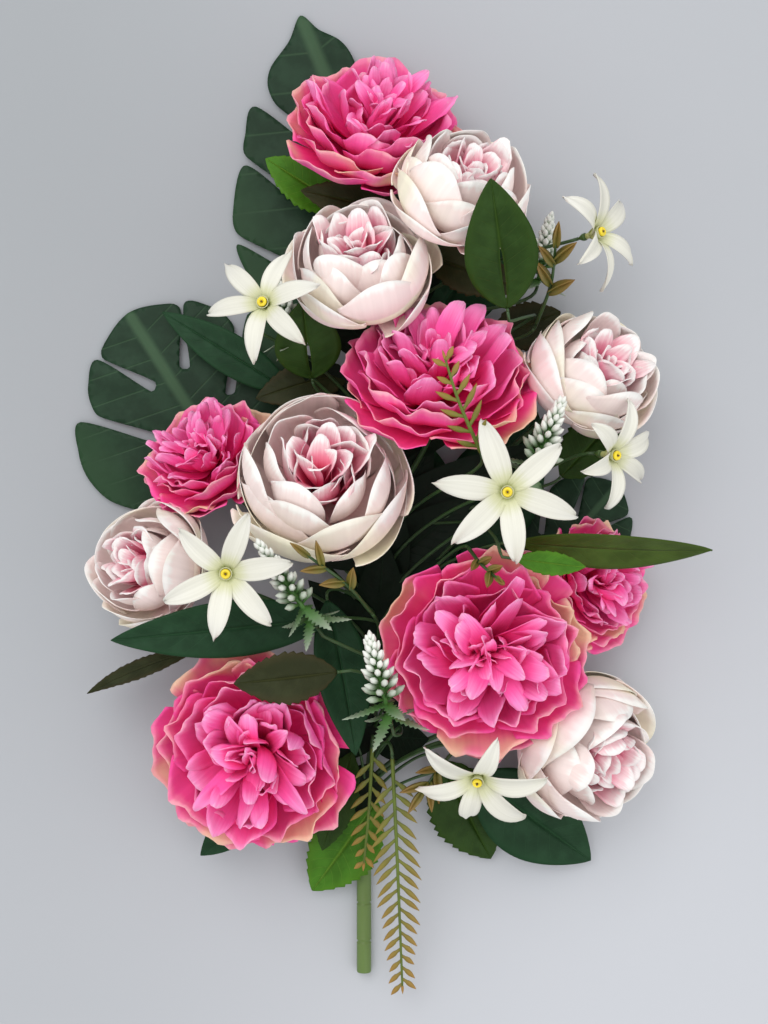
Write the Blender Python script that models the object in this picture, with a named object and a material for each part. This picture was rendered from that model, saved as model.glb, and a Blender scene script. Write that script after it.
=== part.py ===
"""Artificial peony bush, lying on its back as it comes to rest on a table.

Fabric peonies, lilies and leaves and moulded plastic greenery sit on the tips of one moulded
stem tree, whose trunk is plugged into a ringed handle. The origin is the centre of the handle's
cut end. +Y runs up the handle towards the flowers, +X is to the right and +Z out of the front.
"""

import math
from collections import namedtuple

import bmesh
import bpy
from mathutils import Matrix, Vector

# The real bush's length over its top leaf, and the length that the layout below adds up to. Every
# size below is in the layout's millimetres, and UNIT turns it into Blender's metres.
BUSH_LENGTH = 578.6
LAYOUT_LENGTH = 578.6
UNIT = 0.001 * BUSH_LENGTH / LAYOUT_LENGTH

# The layout is read from straight in front of the bush, by an eye at this place.
EYE = Vector((12.0, 276.0, 1000.0))

FRONT = Vector((0.0, 0.0, 1.0))
UP_THE_STEM = Vector((0.0, 1.0, 0.0))
SEAT_GAP = 0.3

# The handle and the stem tree.
HANDLE_RADIUS = 4.3
HANDLE_LENGTH = 84.0
HANDLE_CHAMFER = 0.9
HANDLE_SIDES = 10
RING_PITCH = 23.0
RING_COUNT = 3
FIRST_RING = 19.0
RING_DEPTH = 0.6
RING_HALF_WIDTH = 1.0
SOCKET_DEPTH = 12.0
SOCKET_CLEARANCE = 0.3
TRUNK_RADIUS = 2.6
TRUNK_TIP_RADIUS = 1.7
TRUNK_SIDES = 7
BRANCH_RADIUS = 1.5
BRANCH_SIDES = 5
TWIG_RADIUS = 1.0
TWIG_SIDES = 4
PETIOLE_RADIUS = 0.9
PETIOLE_SIDES = 4
DETOUR_RUN_IN = 6.0
DETOUR_SPACING = 26.0
CALYX_RADIUS = 6.0
CALYX_HEIGHT = 7.0
LILY_CALYX_RADIUS = 2.2
CALYX_SHOULDER = 0.85
SHOULDER_DEPTH = 0.4

# The peony heads. Heights are shares of the head's radius, and sides are points round a rim.
RUFFLED_HEIGHT = 0.95
CUPPED_HEIGHT = 1.12
HEART_SHARE = 0.55
RIM_SIDES = 20
SMALL_RIM_SIDES = 15
SMALL_HEAD = 45.0
RIM_DROP = 0.6

# The lilies.
LILY_PETALS = 6
LILY_TUBE = 10.0
LILY_TUBE_RADIUS = 1.8
LILY_THROAT_RADIUS = 5.0
LILY_THICKNESS = 0.8

# The leaves and fronds.
LEAF_THICKNESS = 0.7
LEAF_ROOT_WIDTH = 2.4
LEAF_TIP_WIDTH = 0.6
LEAF_FOLD = 0.10
LEAF_ROWS = (0.0, 0.20, 0.48, 0.78, 1.0)
MONSTERA_THICKNESS = 0.8
FROND_STEM_RADIUS = 0.9
FROND_THICKNESS = 0.8

Colour = namedtuple("Colour", "red green blue roughness")
COLOURS = {
    "petal_pink": Colour(0.86, 0.13, 0.38, 0.55),
    "petal_blush": Colour(0.90, 0.68, 0.68, 0.60),
    "lily_white": Colour(0.88, 0.88, 0.82, 0.60),
    "leaf_dark": Colour(0.02, 0.09, 0.05, 0.55),
    "leaf_mid": Colour(0.06, 0.17, 0.04, 0.55),
    "leaf_bright": Colour(0.11, 0.30, 0.03, 0.50),
    "leaf_olive": Colour(0.07, 0.08, 0.03, 0.60),
    "stem_green": Colour(0.10, 0.22, 0.06, 0.50),
    "frond_olive": Colour(0.20, 0.22, 0.04, 0.50),
    "spike_white": Colour(0.62, 0.72, 0.55, 0.50),
}

# A place is x, y, z: x and y as the eye sees them on the table, z above the handle's axis.
Peony = namedtuple("Peony", "name kind place facing radius spin share")
Lily = namedtuple("Lily", "name place facing petal spin share")
Leaf = namedtuple("Leaf", "name colour root tip width roll arch share")
Frond = namedtuple("Frond", "name colour root middle tip pairs leaflet width share")
Spike = namedtuple("Spike", "name root tip radius share")

# A tip of the stem tree: where it ends, which way, its sizes, and the share of the trunk it leaves at.
Tip = namedtuple("Tip", "place facing radius sides steps run_in calyx cup share")

TRUNK_ROUTE = [
    (0, 96, 1), (5, 139, 6), (8, 199, 10), (11, 259, 11), (10, 319, 11), (7, 379, 11), (7, 430, 14),
]

# Places that a branch goes by on its way round a neighbour.
DETOURS = {
    "lance_leaf_top_right": [(60, 370, 16), (100, 392, 26), (97, 393, 60)],
    "bright_leaf_middle": [(62, 270, 26), (70, 269, 72), (79, 260, 93)],
    "flower_spike_bottom": [(20, 146, 40), (22, 143, 66)],
    "folded_leaf_lower_left": [(16, 170, 44), (14, 176, 74)],
    "flower_spike_left": [(13, 188, 44), (6, 188, 66)],
    "lance_leaf_left": [(12, 206, 36)],
    "lily_upper_left": [(-30, 366, 26), (-62, 384, 36), (-66, 397, 60)],
}

PEONIES = [
    Peony("pink_peony_top", "ruffled", (10, 513, 40), (0.15, 0.66, 0.73), 52, 10, 1.0),
    Peony("blush_peony_top_right", "cupped", (62, 473, 84), (0.30, 0.60, 0.74), 40, 30, 0.80),
    Peony("blush_peony_upper", "cupped", (-2, 427, 73), (-0.08, 0.60, 0.80), 43, 50, 0.66),
    Peony("pink_peony_upper", "ruffled", (45, 365, 72), (0.02, 0.68, 0.73), 55, 20, 0.46),
    Peony("blush_peony_right", "cupped", (140, 361, 55), (0.50, 0.50, 0.70), 40, 15, 0.36),
    Peony("pink_peony_left", "ruffled", (-96, 313, 35), (-0.30, 0.60, 0.74), 40, 40, 0.32),
    Peony("blush_peony_middle", "cupped", (-26, 299, 74), (0.02, 0.42, 0.91), 51, 65, 0.38),
    Peony("blush_peony_left", "cupped", (-132, 245, 46), (-0.62, 0.20, 0.76), 38, 25, 0.25),
    Peony("pink_peony_lower_right", "ruffled", (74, 190, 86), (0.04, -0.02, 1.00), 57, 0, 0.14),
    Peony("pink_peony_lower_left", "ruffled", (-67, 129, 66), (-0.12, -0.15, 0.98), 57, 33, 0.06),
    Peony("pink_peony_right", "ruffled", (143, 234, 36), (0.62, 0.10, 0.78), 38, 12, 0.22),
    Peony("blush_peony_lower_right", "cupped", (137, 132, 42), (0.66, -0.28, 0.70), 48, 45, 0.10),
]

LILIES = [
    Lily("lily_upper_left", (-61, 402, 94), (-0.25, 0.10, 0.96), 34, 12, 0.62),
    Lily("lily_upper_right", (142, 444, 66), (0.75, 0.15, 0.60), 34, 40, 0.74),
    Lily("lily_middle", (86, 288, 112), (0.00, -0.05, 1.00), 41, 45, 0.40),
    Lily("lily_right", (151, 310, 78), (0.70, -0.10, 0.70), 34, 20, 0.30),
    Lily("lily_left", (-83, 239, 104), (0.02, -0.10, 1.00), 38, 20, 0.29),
    Lily("lily_bottom", (68, 114, 84), (-0.15, -0.60, 0.78), 38, 10, 0.09),
]

LEAVES = [
    Leaf("lance_leaf_top_right", "leaf_mid", (86, 398, 84), (76, 476, 122), 40, 0, 3, 0.70),
    Leaf("round_leaf_upper_left", "leaf_mid", (-31, 356, 38), (-37, 403, 58), 38, 0, 3, 0.58),
    Leaf("lance_leaf_right", "leaf_mid", (92, 258, 82), (209, 253, 70), 30, 50, 2, 0.33),
    Leaf("lance_leaf_left", "leaf_dark", (-20, 212, 60), (-152, 199, 74), 32, 0, 2, 0.24),
    Leaf("lance_leaf_centre", "leaf_dark", (-22, 223, 48), (-5, 130, 56), 32, -20, 3, 0.34),
    Leaf("broad_leaf_bottom_right", "leaf_dark", (66, 118, 15), (136, 67, 4), 50, 0, 3, 0.06),
    Leaf("narrow_leaf_left", "leaf_olive", (-101, 193, 34), (-166, 167, 26), 16, 45, 3, 0.20),
    Leaf("folded_leaf_lower_left", "leaf_olive", (-16, 180, 88), (-78, 173, 96), 30, 0, 2, 0.18),
    Leaf("small_leaf_bottom_left", "leaf_dark", (-61, 103, 22), (-98, 70, 20), 22, 0, 1, 0.05),
    Leaf("bright_leaf_bottom", "leaf_bright", (8, 103, 12), (-31, 49, 6), 44, 0, 2, 0.05),
    Leaf("leaf_beside_bottom", "leaf_mid", (-7, 132, 26), (-25, 73, 18), 26, 10, 2, 0.08),
    Leaf("serrated_leaf_bottom_right", "leaf_mid", (46, 127, 8), (76, 68, 2), 46, 0, 2, 0.07),
    Leaf("lance_leaf_beside_middle", "leaf_dark", (53, 247, 7), (14, 336, 5), 40, 0, 1, 0.31),
    Leaf("lance_leaf_below_middle", "leaf_dark", (-8, 199, 1.6), (37, 271, 1.6), 42, 0, 0, 0.26),
    Leaf("bright_leaf_top_left", "leaf_bright", (-11, 457, 12), (-59, 488, 22), 30, 0, 2, 0.86),
    Leaf("olive_leaf_top", "leaf_olive", (25, 454, 20), (-38, 469, 36), 26, 0, 2, 0.84),
    Leaf("olive_leaf_upper_right", "leaf_olive", (37, 430, 36), (94, 409, 44), 30, 0, 3, 0.78),
    Leaf("olive_leaf_right", "leaf_olive", (76, 379, 9), (118, 396, 10), 30, 0, 1, 0.62),
    Leaf("serrated_leaf_right", "leaf_mid", (118, 297, 28), (152, 334, 22), 34, 0, 3, 0.42),
    Leaf("olive_leaf_middle_left", "leaf_olive", (-8, 360, 13), (-65, 344, 18), 28, 10, 3, 0.56),
    Leaf("lance_leaf_upper_left", "leaf_dark", (-44, 348, 12), (-121, 396, 10), 24, 0, 3, 0.54),
    Leaf("backing_leaf_middle", "leaf_dark", (52, 244, 2), (104, 336, 1), 58, 0, 0, 0.36),
    Leaf("backing_leaf_centre", "leaf_dark", (2, 160, -3), (54, 244, -3), 56, 0, 0, 0.20),
    Leaf("backing_leaf_top", "leaf_dark", (36, 384, 4), (84, 452, 6), 52, 0, 1, 0.68),
    Leaf("bright_leaf_middle", "leaf_bright", (91, 248, 100), (133, 243, 94), 14, 10, 1, 0.48),
]

MONSTERAS = [
    Leaf("monstera_leaf_top", "leaf_dark", (26, 418, -1.6), (-38, 573, -3.8), 176, 0, 3, 0.63),
    Leaf("monstera_leaf_left", "leaf_dark", (-80, 300, -1.6), (-141, 395, -3.8), 144, 0, 3, 0.34),
    Leaf("monstera_leaf_right", "leaf_dark", (98, 232, -1.6), (152, 292, -3.8), 84, 0, 3, 0.28),
]

FRONDS = [
    Frond("fern_bottom", "frond_olive", (17, 128, 56), (20, 66, 42), (23, -8, 14), 11, 17, 3.6, 0.12),
    Frond("fern_bottom_left", "frond_olive", (5, 134, 40), (3, 98, 36), (0, 66, 28), 6, 13, 3.6, 0.11),
    Frond("fern_upper", "frond_olive", (70, 312, 104), (57, 342, 119), (49, 367, 124), 6, 15, 3.2, 0.44),
    Frond(
        "bud_sprig_top_right", "frond_olive", (103, 388, 44), (112, 412, 62), (115, 436, 74), 2, 18, 8, 0.66
    ),
    Frond("bud_sprig_middle", "frond_olive", (4, 216, 76), (-10, 232, 96), (-34, 250, 104), 2, 16, 6, 0.27),
    Frond("bud_sprig_bottom", "frond_olive", (55, 134, 54), (45, 122, 58), (35, 108, 60), 2, 18, 9, 0.09),
    Frond("bud_sprig_right", "frond_olive", (63, 254, 78), (70, 245, 98), (80, 236, 110), 1, 12, 7, 0.29),
]

SPIKES = [
    Spike("flower_spike_bottom", (16, 150, 88), (3, 202, 108), 11, 0.13),
    Spike("flower_spike_right", (98, 294, 72), (119, 343, 92), 11, 0.35),
    Spike("flower_spike_left", (-29, 208, 82), (-64, 258, 106), 10, 0.23),
    Spike("flower_spike_top_right", (104, 412, 26), (112, 454, 34), 8, 0.72),
    Spike("flower_spike_upper_left", (-42, 374, 42), (-52, 418, 44), 8, 0.57),
]

# Petal layers of a head, from the calyx outwards and then inwards, as shares of radius and height.
Ring = namedtuple("Ring", "radius height scallop petals turn")
RUFFLED_RINGS = [
    Ring(0.10, 0.00, 0.00, 5, 0.0),
    Ring(0.60, 0.14, 0.00, 5, 0.0),
    Ring(1.00, 0.42, 0.13, 5, 0.0),
    Ring(0.52, 0.21, 0.00, 5, 0.0),
    Ring(0.90, 0.66, 0.14, 5, 0.5),
    Ring(0.46, 0.42, 0.00, 5, 0.0),
    Ring(0.70, 0.88, 0.22, 10, 0.0),
    Ring(0.27, 0.56, 0.00, 5, 0.0),
    Ring(0.42, 1.00, 0.28, 10, 0.5),
    Ring(0.11, 0.74, 0.00, 5, 0.0),
]
CUPPED_RINGS = [
    Ring(0.10, 0.00, 0.00, 5, 0.0),
    Ring(0.62, 0.10, 0.00, 5, 0.0),
    Ring(0.97, 0.42, 0.03, 5, 0.0),
    Ring(0.98, 0.74, 0.10, 5, 0.0),
    Ring(0.72, 0.46, 0.00, 5, 0.0),
    Ring(0.80, 0.88, 0.12, 5, 0.5),
    Ring(0.50, 0.60, 0.00, 5, 0.0),
    Ring(0.56, 0.97, 0.13, 5, 0.0),
    Ring(0.32, 0.62, 0.00, 5, 0.0),
    Ring(0.36, 0.93, 0.26, 10, 0.5),
    Ring(0.11, 0.66, 0.00, 5, 0.0),
]


def seen(place):
    """The point at height z that the eye sees at x, y on the table."""
    x, y, z = place
    nearer = (EYE.z - z) / EYE.z
    return Vector((EYE.x + (x - EYE.x) * nearer, EYE.y + (y - EYE.y) * nearer, z))


def bezier(start, leave, end, arrive, run_in, share):
    """The point at a share of the way along the cubic curve with these end directions."""
    reach = (end - start).length / 2.6
    first = start + leave * reach
    second = end - arrive * min(run_in, reach)
    rest = 1 - share
    return (
        start * rest**3
        + first * 3 * rest**2 * share
        + second * 3 * rest * share**2
        + end * share**3
    )


def through(points, spacing):
    """A smooth line through the points: Catmull-Rom, with about this spacing."""
    padded = [2 * points[0] - points[1]] + points + [2 * points[-1] - points[-2]]
    line = [points[0]]
    for a, b, c, d in zip(padded, padded[1:], padded[2:], padded[3:]):
        steps = max(1, round((c - b).length / spacing))
        for step in range(1, steps + 1):
            t = step / steps
            straight = 2 * b + (c - a) * t
            bend = (2 * a - 5 * b + 4 * c - d) * t**2
            line.append(0.5 * (straight + bend + (3 * b - a - 3 * c + d) * t**3))
    return line


def tangent_at(line, index):
    before = line[max(index - 1, 0)]
    after = line[min(index + 1, len(line) - 1)]
    return (after - before).normalized()


def along(line, share):
    """The point and the direction at a share of a line's length."""
    left = share * sum((b - a).length for a, b in zip(line, line[1:]))
    for a, b in zip(line, line[1:]):
        step = b - a
        if left <= step.length:
            break
        left -= step.length
    return a + step.normalized() * min(left, step.length), step.normalized()


def frame_across(direction, hint):
    """Two unit vectors across a direction, the second as near the hint as it can be."""
    side = direction.cross(hint)
    if side.length < 1e-6:
        side = direction.cross(UP_THE_STEM)
    side.normalize()
    return side, side.cross(direction).normalized()


def skin(bm, loops):
    """Joins closed loops of points into one closed surface with flat ends."""
    rings = [[bm.verts.new(point) for point in loop] for loop in loops]
    for lower, upper in zip(rings, rings[1:]):
        for k in range(len(lower)):
            after = (k + 1) % len(lower)
            bm.faces.new((lower[k], lower[after], upper[after], upper[k]))
    bm.faces.new(list(reversed(rings[0])))
    bm.faces.new(rings[-1])
    return rings


def tube(line, radii, sides):
    """A closed tube along a line, as a bmesh."""
    bm = bmesh.new()
    before = tangent_at(line, 0)
    side, across = frame_across(before, FRONT)
    turns = [2 * math.pi * k / sides for k in range(sides)]
    loops = []
    for index, (point, radius) in enumerate(zip(line, radii)):
        direction = tangent_at(line, index)
        carried = before.rotation_difference(direction)
        side, across, before = carried @ side, carried @ across, direction
        loops.append([point + (side * math.cos(a) + across * math.sin(a)) * radius for a in turns])
    skin(bm, loops)
    return bm


def material_of(colour):
    material = bpy.data.materials.get(colour)
    if material is None:
        look = COLOURS[colour]
        material = bpy.data.materials.new(colour)
        material.use_nodes = True
        shader = material.node_tree.nodes["Principled BSDF"]
        shader.inputs["Base Color"].default_value = (look.red, look.green, look.blue, 1)
        shader.inputs["Roughness"].default_value = look.roughness
        shader.inputs["Metallic"].default_value = 0
    return material


def add_object(name, bm, colour, smooth_below=0.0):
    """Turns a bmesh in millimetres into a named object in metres, with its faces pointing out."""
    bmesh.ops.recalc_face_normals(bm, faces=bm.faces)
    bmesh.ops.scale(bm, vec=(UNIT, UNIT, UNIT), verts=bm.verts)
    mesh = bpy.data.meshes.new(name)
    bm.to_mesh(mesh)
    bm.free()
    mesh.materials.append(material_of(colour))
    if smooth_below:
        mesh.shade_smooth()
        mesh.set_sharp_from_angle(angle=math.radians(smooth_below))
    obj = bpy.data.objects.new(name, mesh)
    bpy.context.scene.collection.objects.link(obj)
    return obj


def to_world(facing, spin, place):
    """The matrix that stands a shape built up +Z on a place, facing a direction and turned by spin."""
    turn = FRONT.rotation_difference(facing).to_matrix().to_4x4()
    return Matrix.Translation(place) @ turn @ Matrix.Rotation(math.radians(spin), 4, "Z")


# Handle


def handle_profile():
    """Radius and height of the handle from its cut end, over the rings and down into the socket."""
    socket_radius = TRUNK_RADIUS + SOCKET_CLEARANCE
    profile = [(HANDLE_RADIUS - HANDLE_CHAMFER, 0), (HANDLE_RADIUS, HANDLE_CHAMFER)]
    for ring in range(RING_COUNT):
        middle = FIRST_RING + ring * RING_PITCH
        profile += [
            (HANDLE_RADIUS, middle - RING_HALF_WIDTH),
            (HANDLE_RADIUS - RING_DEPTH, middle),
            (HANDLE_RADIUS, middle + RING_HALF_WIDTH),
        ]
    profile += [
        (HANDLE_RADIUS, HANDLE_LENGTH - HANDLE_CHAMFER),
        (HANDLE_RADIUS - HANDLE_CHAMFER, HANDLE_LENGTH),
        (socket_radius, HANDLE_LENGTH),
        (socket_radius, HANDLE_LENGTH - SOCKET_DEPTH),
    ]
    return profile


def build_handle():
    bm = bmesh.new()
    turns = [2 * math.pi * (k + 0.5) / HANDLE_SIDES for k in range(HANDLE_SIDES)]
    skin(bm, [
        [Vector((radius * math.sin(a), height, radius * math.cos(a))) for a in turns]
        for radius, height in handle_profile()
    ])
    add_object("handle", bm, "stem_green", smooth_below=40)


# Stem tree


def trunk_line(tip):
    """The trunk runs from the foot of its socket straight out, then along its route to the top head."""
    foot = Vector((0, HANDLE_LENGTH - SOCKET_DEPTH + SEAT_GAP, 0))
    mouth = Vector((0, HANDLE_LENGTH, 0))
    return [foot] + through([mouth] + [seen(place) for place in TRUNK_ROUTE] + [tip], 34)


def branch_route(carrier, tip, detour):
    """The line of a branch, which leaves its carrier half along it and half towards its own tip."""
    start, direction = along(carrier, tip.share)
    foot = tip.place - tip.facing * tip.cup
    if detour:
        run_in = foot - tip.facing * DETOUR_RUN_IN
        return through([start] + [seen(place) for place in detour] + [run_in, foot], DETOUR_SPACING)
    leave = (direction + (foot - start).normalized()).normalized()
    return [
        bezier(start, leave, foot, tip.facing, tip.run_in, step / tip.steps) for step in range(tip.steps + 1)
    ]


def branch(carrier, tip, detour):
    """A branch as a closed tube. It widens into a calyx where the piece on it is a flower."""
    line = branch_route(carrier, tip, detour)
    radii = [tip.radius] * len(line)
    if tip.calyx > tip.radius:
        line.append(tip.place - tip.facing * tip.cup * SHOULDER_DEPTH)
        radii.append(tip.calyx * CALYX_SHOULDER)
    line.append(tip.place)
    radii.append(tip.calyx)
    return tube(line, radii, tip.sides)


def build_stems(tips):
    """The stem tree: the trunk, with every branch, twig and petiole joined to it by a union."""
    top = tips["trunk"]
    foot_of_cup = top.place - top.facing * CALYX_HEIGHT
    line = trunk_line(foot_of_cup)
    full = line + [top.place - top.facing * CALYX_HEIGHT * SHOULDER_DEPTH, top.place]
    count = len(line)
    radii = [
        TRUNK_RADIUS + (TRUNK_TIP_RADIUS - TRUNK_RADIUS) * index / (count - 1) for index in range(count)
    ]
    radii += [CALYX_RADIUS * CALYX_SHOULDER, CALYX_RADIUS]
    stems = add_object("stems", tube(full, radii, TRUNK_SIDES), "stem_green")
    joined = bpy.data.collections.new("branches")
    bpy.context.scene.collection.children.link(joined)
    for name, tip in tips.items():
        if name == "trunk":
            continue
        arm = add_object("branch_" + name, branch(line, tip, DETOURS.get(name)), "stem_green")
        bpy.context.scene.collection.objects.unlink(arm)
        joined.objects.link(arm)
        arm.hide_render = True
    joined.hide_render = True
    union = stems.modifiers.new("branches", "BOOLEAN")
    union.operation = "UNION"
    union.operand_type = "COLLECTION"
    union.collection = joined
    union.solver = "EXACT"


# Peony heads


def head_height(head):
    return head.radius * (RUFFLED_HEIGHT if head.kind == "ruffled" else CUPPED_HEIGHT)


def head_root(head):
    """Where the head's calyx ends and the head is seated."""
    facing = Vector(head.facing).normalized()
    return seen(head.place) - facing * (HEART_SHARE * head_height(head)), facing


def petal_ring(ring, radius, height):
    """One ring of a head. A scalloped ring dips between its petals, in radius and in height."""
    points = []
    sides = SMALL_RIM_SIDES if radius < SMALL_HEAD else RIM_SIDES
    for k in range(sides):
        angle = 2 * math.pi * k / sides
        lobe = abs(math.cos(ring.petals * angle / 2 + math.pi * ring.turn))
        dip = ring.scallop * (1 - lobe)
        reach = ring.radius * radius * (1 - dip)
        rise = height * (ring.height - dip * RIM_DROP)
        points.append(Vector((reach * math.cos(angle), reach * math.sin(angle), rise)))
    return points


def build_peony(head):
    rings = RUFFLED_RINGS if head.kind == "ruffled" else CUPPED_RINGS
    root, facing = head_root(head)
    bm = bmesh.new()
    skin(bm, [petal_ring(ring, head.radius, head_height(head)) for ring in rings])
    bm.transform(to_world(facing, head.spin, root + facing * SEAT_GAP))
    add_object(head.name, bm, "petal_pink" if head.kind == "ruffled" else "petal_blush", smooth_below=35)


# Lilies


def lily_root(lily):
    facing = Vector(lily.facing).normalized()
    return seen(lily.place) - facing * LILY_TUBE, facing


def petal_outline(length):
    """Reach, height and half width of a lily petal's rows, from the throat towards the tip."""
    return [
        (0.32 * length, 0.14 * length, 0.125 * length),
        (0.62 * length, 0.18 * length, 0.17 * length),
        (0.86 * length, 0.12 * length, 0.11 * length),
        (1.00 * length, 0.02 * length, 0.015 * length),
    ]


def build_lily(lily):
    """A tube that opens into a throat, with six petals that spread from it and curve back."""
    bm = bmesh.new()
    count = 2 * LILY_PETALS
    turns = [math.pi * (k - 0.5) / LILY_PETALS for k in range(count)]
    foot = [bm.verts.new((LILY_TUBE_RADIUS * math.cos(a), LILY_TUBE_RADIUS * math.sin(a), 0)) for a in turns]
    bm.faces.new(list(reversed(foot)))
    under, over = [
        [bm.verts.new((radius * math.cos(a), radius * math.sin(a), LILY_TUBE + lift)) for a in turns]
        for radius, lift in ((LILY_THROAT_RADIUS, 0), (LILY_THROAT_RADIUS, LILY_THICKNESS))
    ]
    throat = bm.verts.new((0, 0, LILY_TUBE * 0.6))
    for k in range(count):
        after = (k + 1) % count
        bm.faces.new((foot[k], foot[after], under[after], under[k]))
        bm.faces.new((over[k], over[after], throat))
        if k % 2:
            bm.faces.new((under[k], under[after], over[after], over[k]))
    for petal in range(LILY_PETALS):
        angle = 2 * math.pi * petal / LILY_PETALS
        outward = Vector((math.cos(angle), math.sin(angle), 0))
        sideways = Vector((-math.sin(angle), math.cos(angle), 0))
        row = [under[2 * petal], under[2 * petal + 1], over[2 * petal + 1], over[2 * petal]]
        for reach, rise, half in petal_outline(lily.petal):
            centre = outward * reach + FRONT * (LILY_TUBE + rise)
            corners = [(-half, 0), (half, 0), (half, LILY_THICKNESS), (-half, LILY_THICKNESS)]
            new = [bm.verts.new(centre + sideways * s + FRONT * lift) for s, lift in corners]
            for i in range(4):
                bm.faces.new((row[i], row[(i + 1) % 4], new[(i + 1) % 4], new[i]))
            row = new
        bm.faces.new(row)
    root, facing = lily_root(lily)
    bm.transform(to_world(facing, lily.spin, root + facing * SEAT_GAP))
    add_object(lily.name, bm, "lily_white")


# Leaves


def leaf_axes(leaf):
    """Root, tip, length direction, width direction and face normal of a leaf."""
    root, tip = seen(leaf.root), seen(leaf.tip)
    direction = (tip - root).normalized()
    side, normal = frame_across(direction, FRONT)
    roll = Matrix.Rotation(math.radians(leaf.roll), 3, direction)
    return root, tip, direction, roll @ side, roll @ normal


def leaf_half_width(leaf, share):
    """A lance outline: widest a little below its middle, and narrow at both ends."""
    bulge = math.sin(math.pi * share**0.85) ** 0.8 if 0 < share < 1 else 0
    least = LEAF_ROOT_WIDTH if share < 0.5 else LEAF_TIP_WIDTH
    return max(leaf.width * bulge, least) / 2


def build_leaf(leaf):
    root, tip, direction, side, normal = leaf_axes(leaf)
    start = root + direction * SEAT_GAP
    bm = bmesh.new()
    loops = []
    for share in LEAF_ROWS:
        half = leaf_half_width(leaf, share)
        centre = start.lerp(tip, share) + normal * (leaf.arch * 4 * share * (1 - share))
        fold = normal * (LEAF_FOLD * half)
        thick = normal * (LEAF_THICKNESS / 2)
        loops.append([
            centre - side * half + fold - thick,
            centre - thick,
            centre + side * half + fold - thick,
            centre + side * half + fold + thick,
            centre + thick,
            centre - side * half + fold + thick,
        ])
    skin(bm, loops)
    add_object(leaf.name, bm, leaf.colour)


# Half outlines of the monstera leaves, from the tip round to the notch at the root. Each pair is a
# share of the length from the root and a share of the half width, and the deep ones are the slots.
FOUR_LOBED = [
    (0.93, 0.14), (0.87, 0.32), (0.81, 0.39), (0.73, 0.38), (0.57, 0.20), (0.55, 0.27),
    (0.76, 0.52), (0.68, 0.66), (0.61, 0.71), (0.42, 0.49), (0.40, 0.53),
    (0.58, 0.74), (0.44, 0.94), (0.36, 0.96), (0.20, 0.70), (0.18, 0.75),
    (0.33, 0.99), (0.20, 1.00), (0.06, 0.88), (-0.05, 0.62), (-0.08, 0.34),
]
THREE_LOBED = [
    (0.99, 0.10), (0.96, 0.22), (0.91, 0.36), (0.86, 0.38), (0.61, 0.12), (0.58, 0.19),
    (0.88, 0.43), (0.79, 0.61), (0.71, 0.67), (0.62, 0.67), (0.36, 0.32), (0.34, 0.39),
    (0.65, 0.83), (0.52, 0.98), (0.38, 1.03), (0.22, 0.98), (0.08, 0.80), (-0.02, 0.55), (-0.06, 0.28),
]
MONSTERA_SPINE = (0.0, 0.16, 0.34, 0.52, 0.70, 0.86, 1.0)
# The outline of each monstera leaf, and the share of its width that its right half keeps.
MONSTERA_SHAPES = ((FOUR_LOBED, 0.56), (THREE_LOBED, 1.0), (THREE_LOBED, 1.0))


def build_monstera(leaf, outline, right_share):
    """A flat slotted leaf, thickened, then bowed up along its midrib."""
    root, tip, direction, side, normal = leaf_axes(leaf)
    length = (tip - root).length
    bm = bmesh.new()
    spine = [bm.verts.new((0, share * length, 0)) for share in MONSTERA_SPINE]
    for reach in (-1.0, right_share):
        rim = []
        for share, wide in outline:
            back = share * abs(reach) if share < 0 else share
            rim.append(bm.verts.new((reach * wide * leaf.width / 2, back * length, 0)))
        bm.faces.new(spine + rim)
    bmesh.ops.triangulate(bm, faces=bm.faces, ngon_method="BEAUTY")
    bmesh.ops.recalc_face_normals(bm, faces=bm.faces)
    upper = bmesh.ops.extrude_face_region(bm, geom=bm.faces[:])["geom"]
    lifted = [v for v in upper if isinstance(v, bmesh.types.BMVert)]
    bmesh.ops.translate(bm, vec=(0, 0, MONSTERA_THICKNESS), verts=lifted)
    for vert in bm.verts:
        x, y, z = vert.co
        bow = leaf.arch * (1 - abs(2 * x / leaf.width)) * math.sin(math.pi * min(max(y / length, 0), 1))
        vert.co = root + direction * (y + SEAT_GAP) + side * x + normal * (z + bow)
    add_object(leaf.name, bm, leaf.colour)


# Fronds: a square stem with flat leaflets drawn out of its two sides


def draw_leaflet(bm, quad, outward, forward, flat, length, width):
    """Draws four corners out into a leaflet that swells and then runs to a point."""
    centre = sum((v.co for v in quad), Vector()) / 4
    aim = (outward + forward * 0.8).normalized()
    across = flat.cross(aim).normalized()
    middle = centre + aim * (length * 0.5)
    half_thick = flat * (FROND_THICKNESS / 2)
    corners = []
    for vert in quad:
        offset = vert.co - centre
        place = middle + across * math.copysign(width / 2, offset.dot(across))
        corners.append(bm.verts.new(place + half_thick * math.copysign(1, offset.dot(flat))))
    point = bm.verts.new(centre + aim * length)
    for i in range(4):
        after = (i + 1) % 4
        bm.faces.new((quad[i], quad[after], corners[after], corners[i]))
        bm.faces.new((corners[i], corners[after], point))


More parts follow.
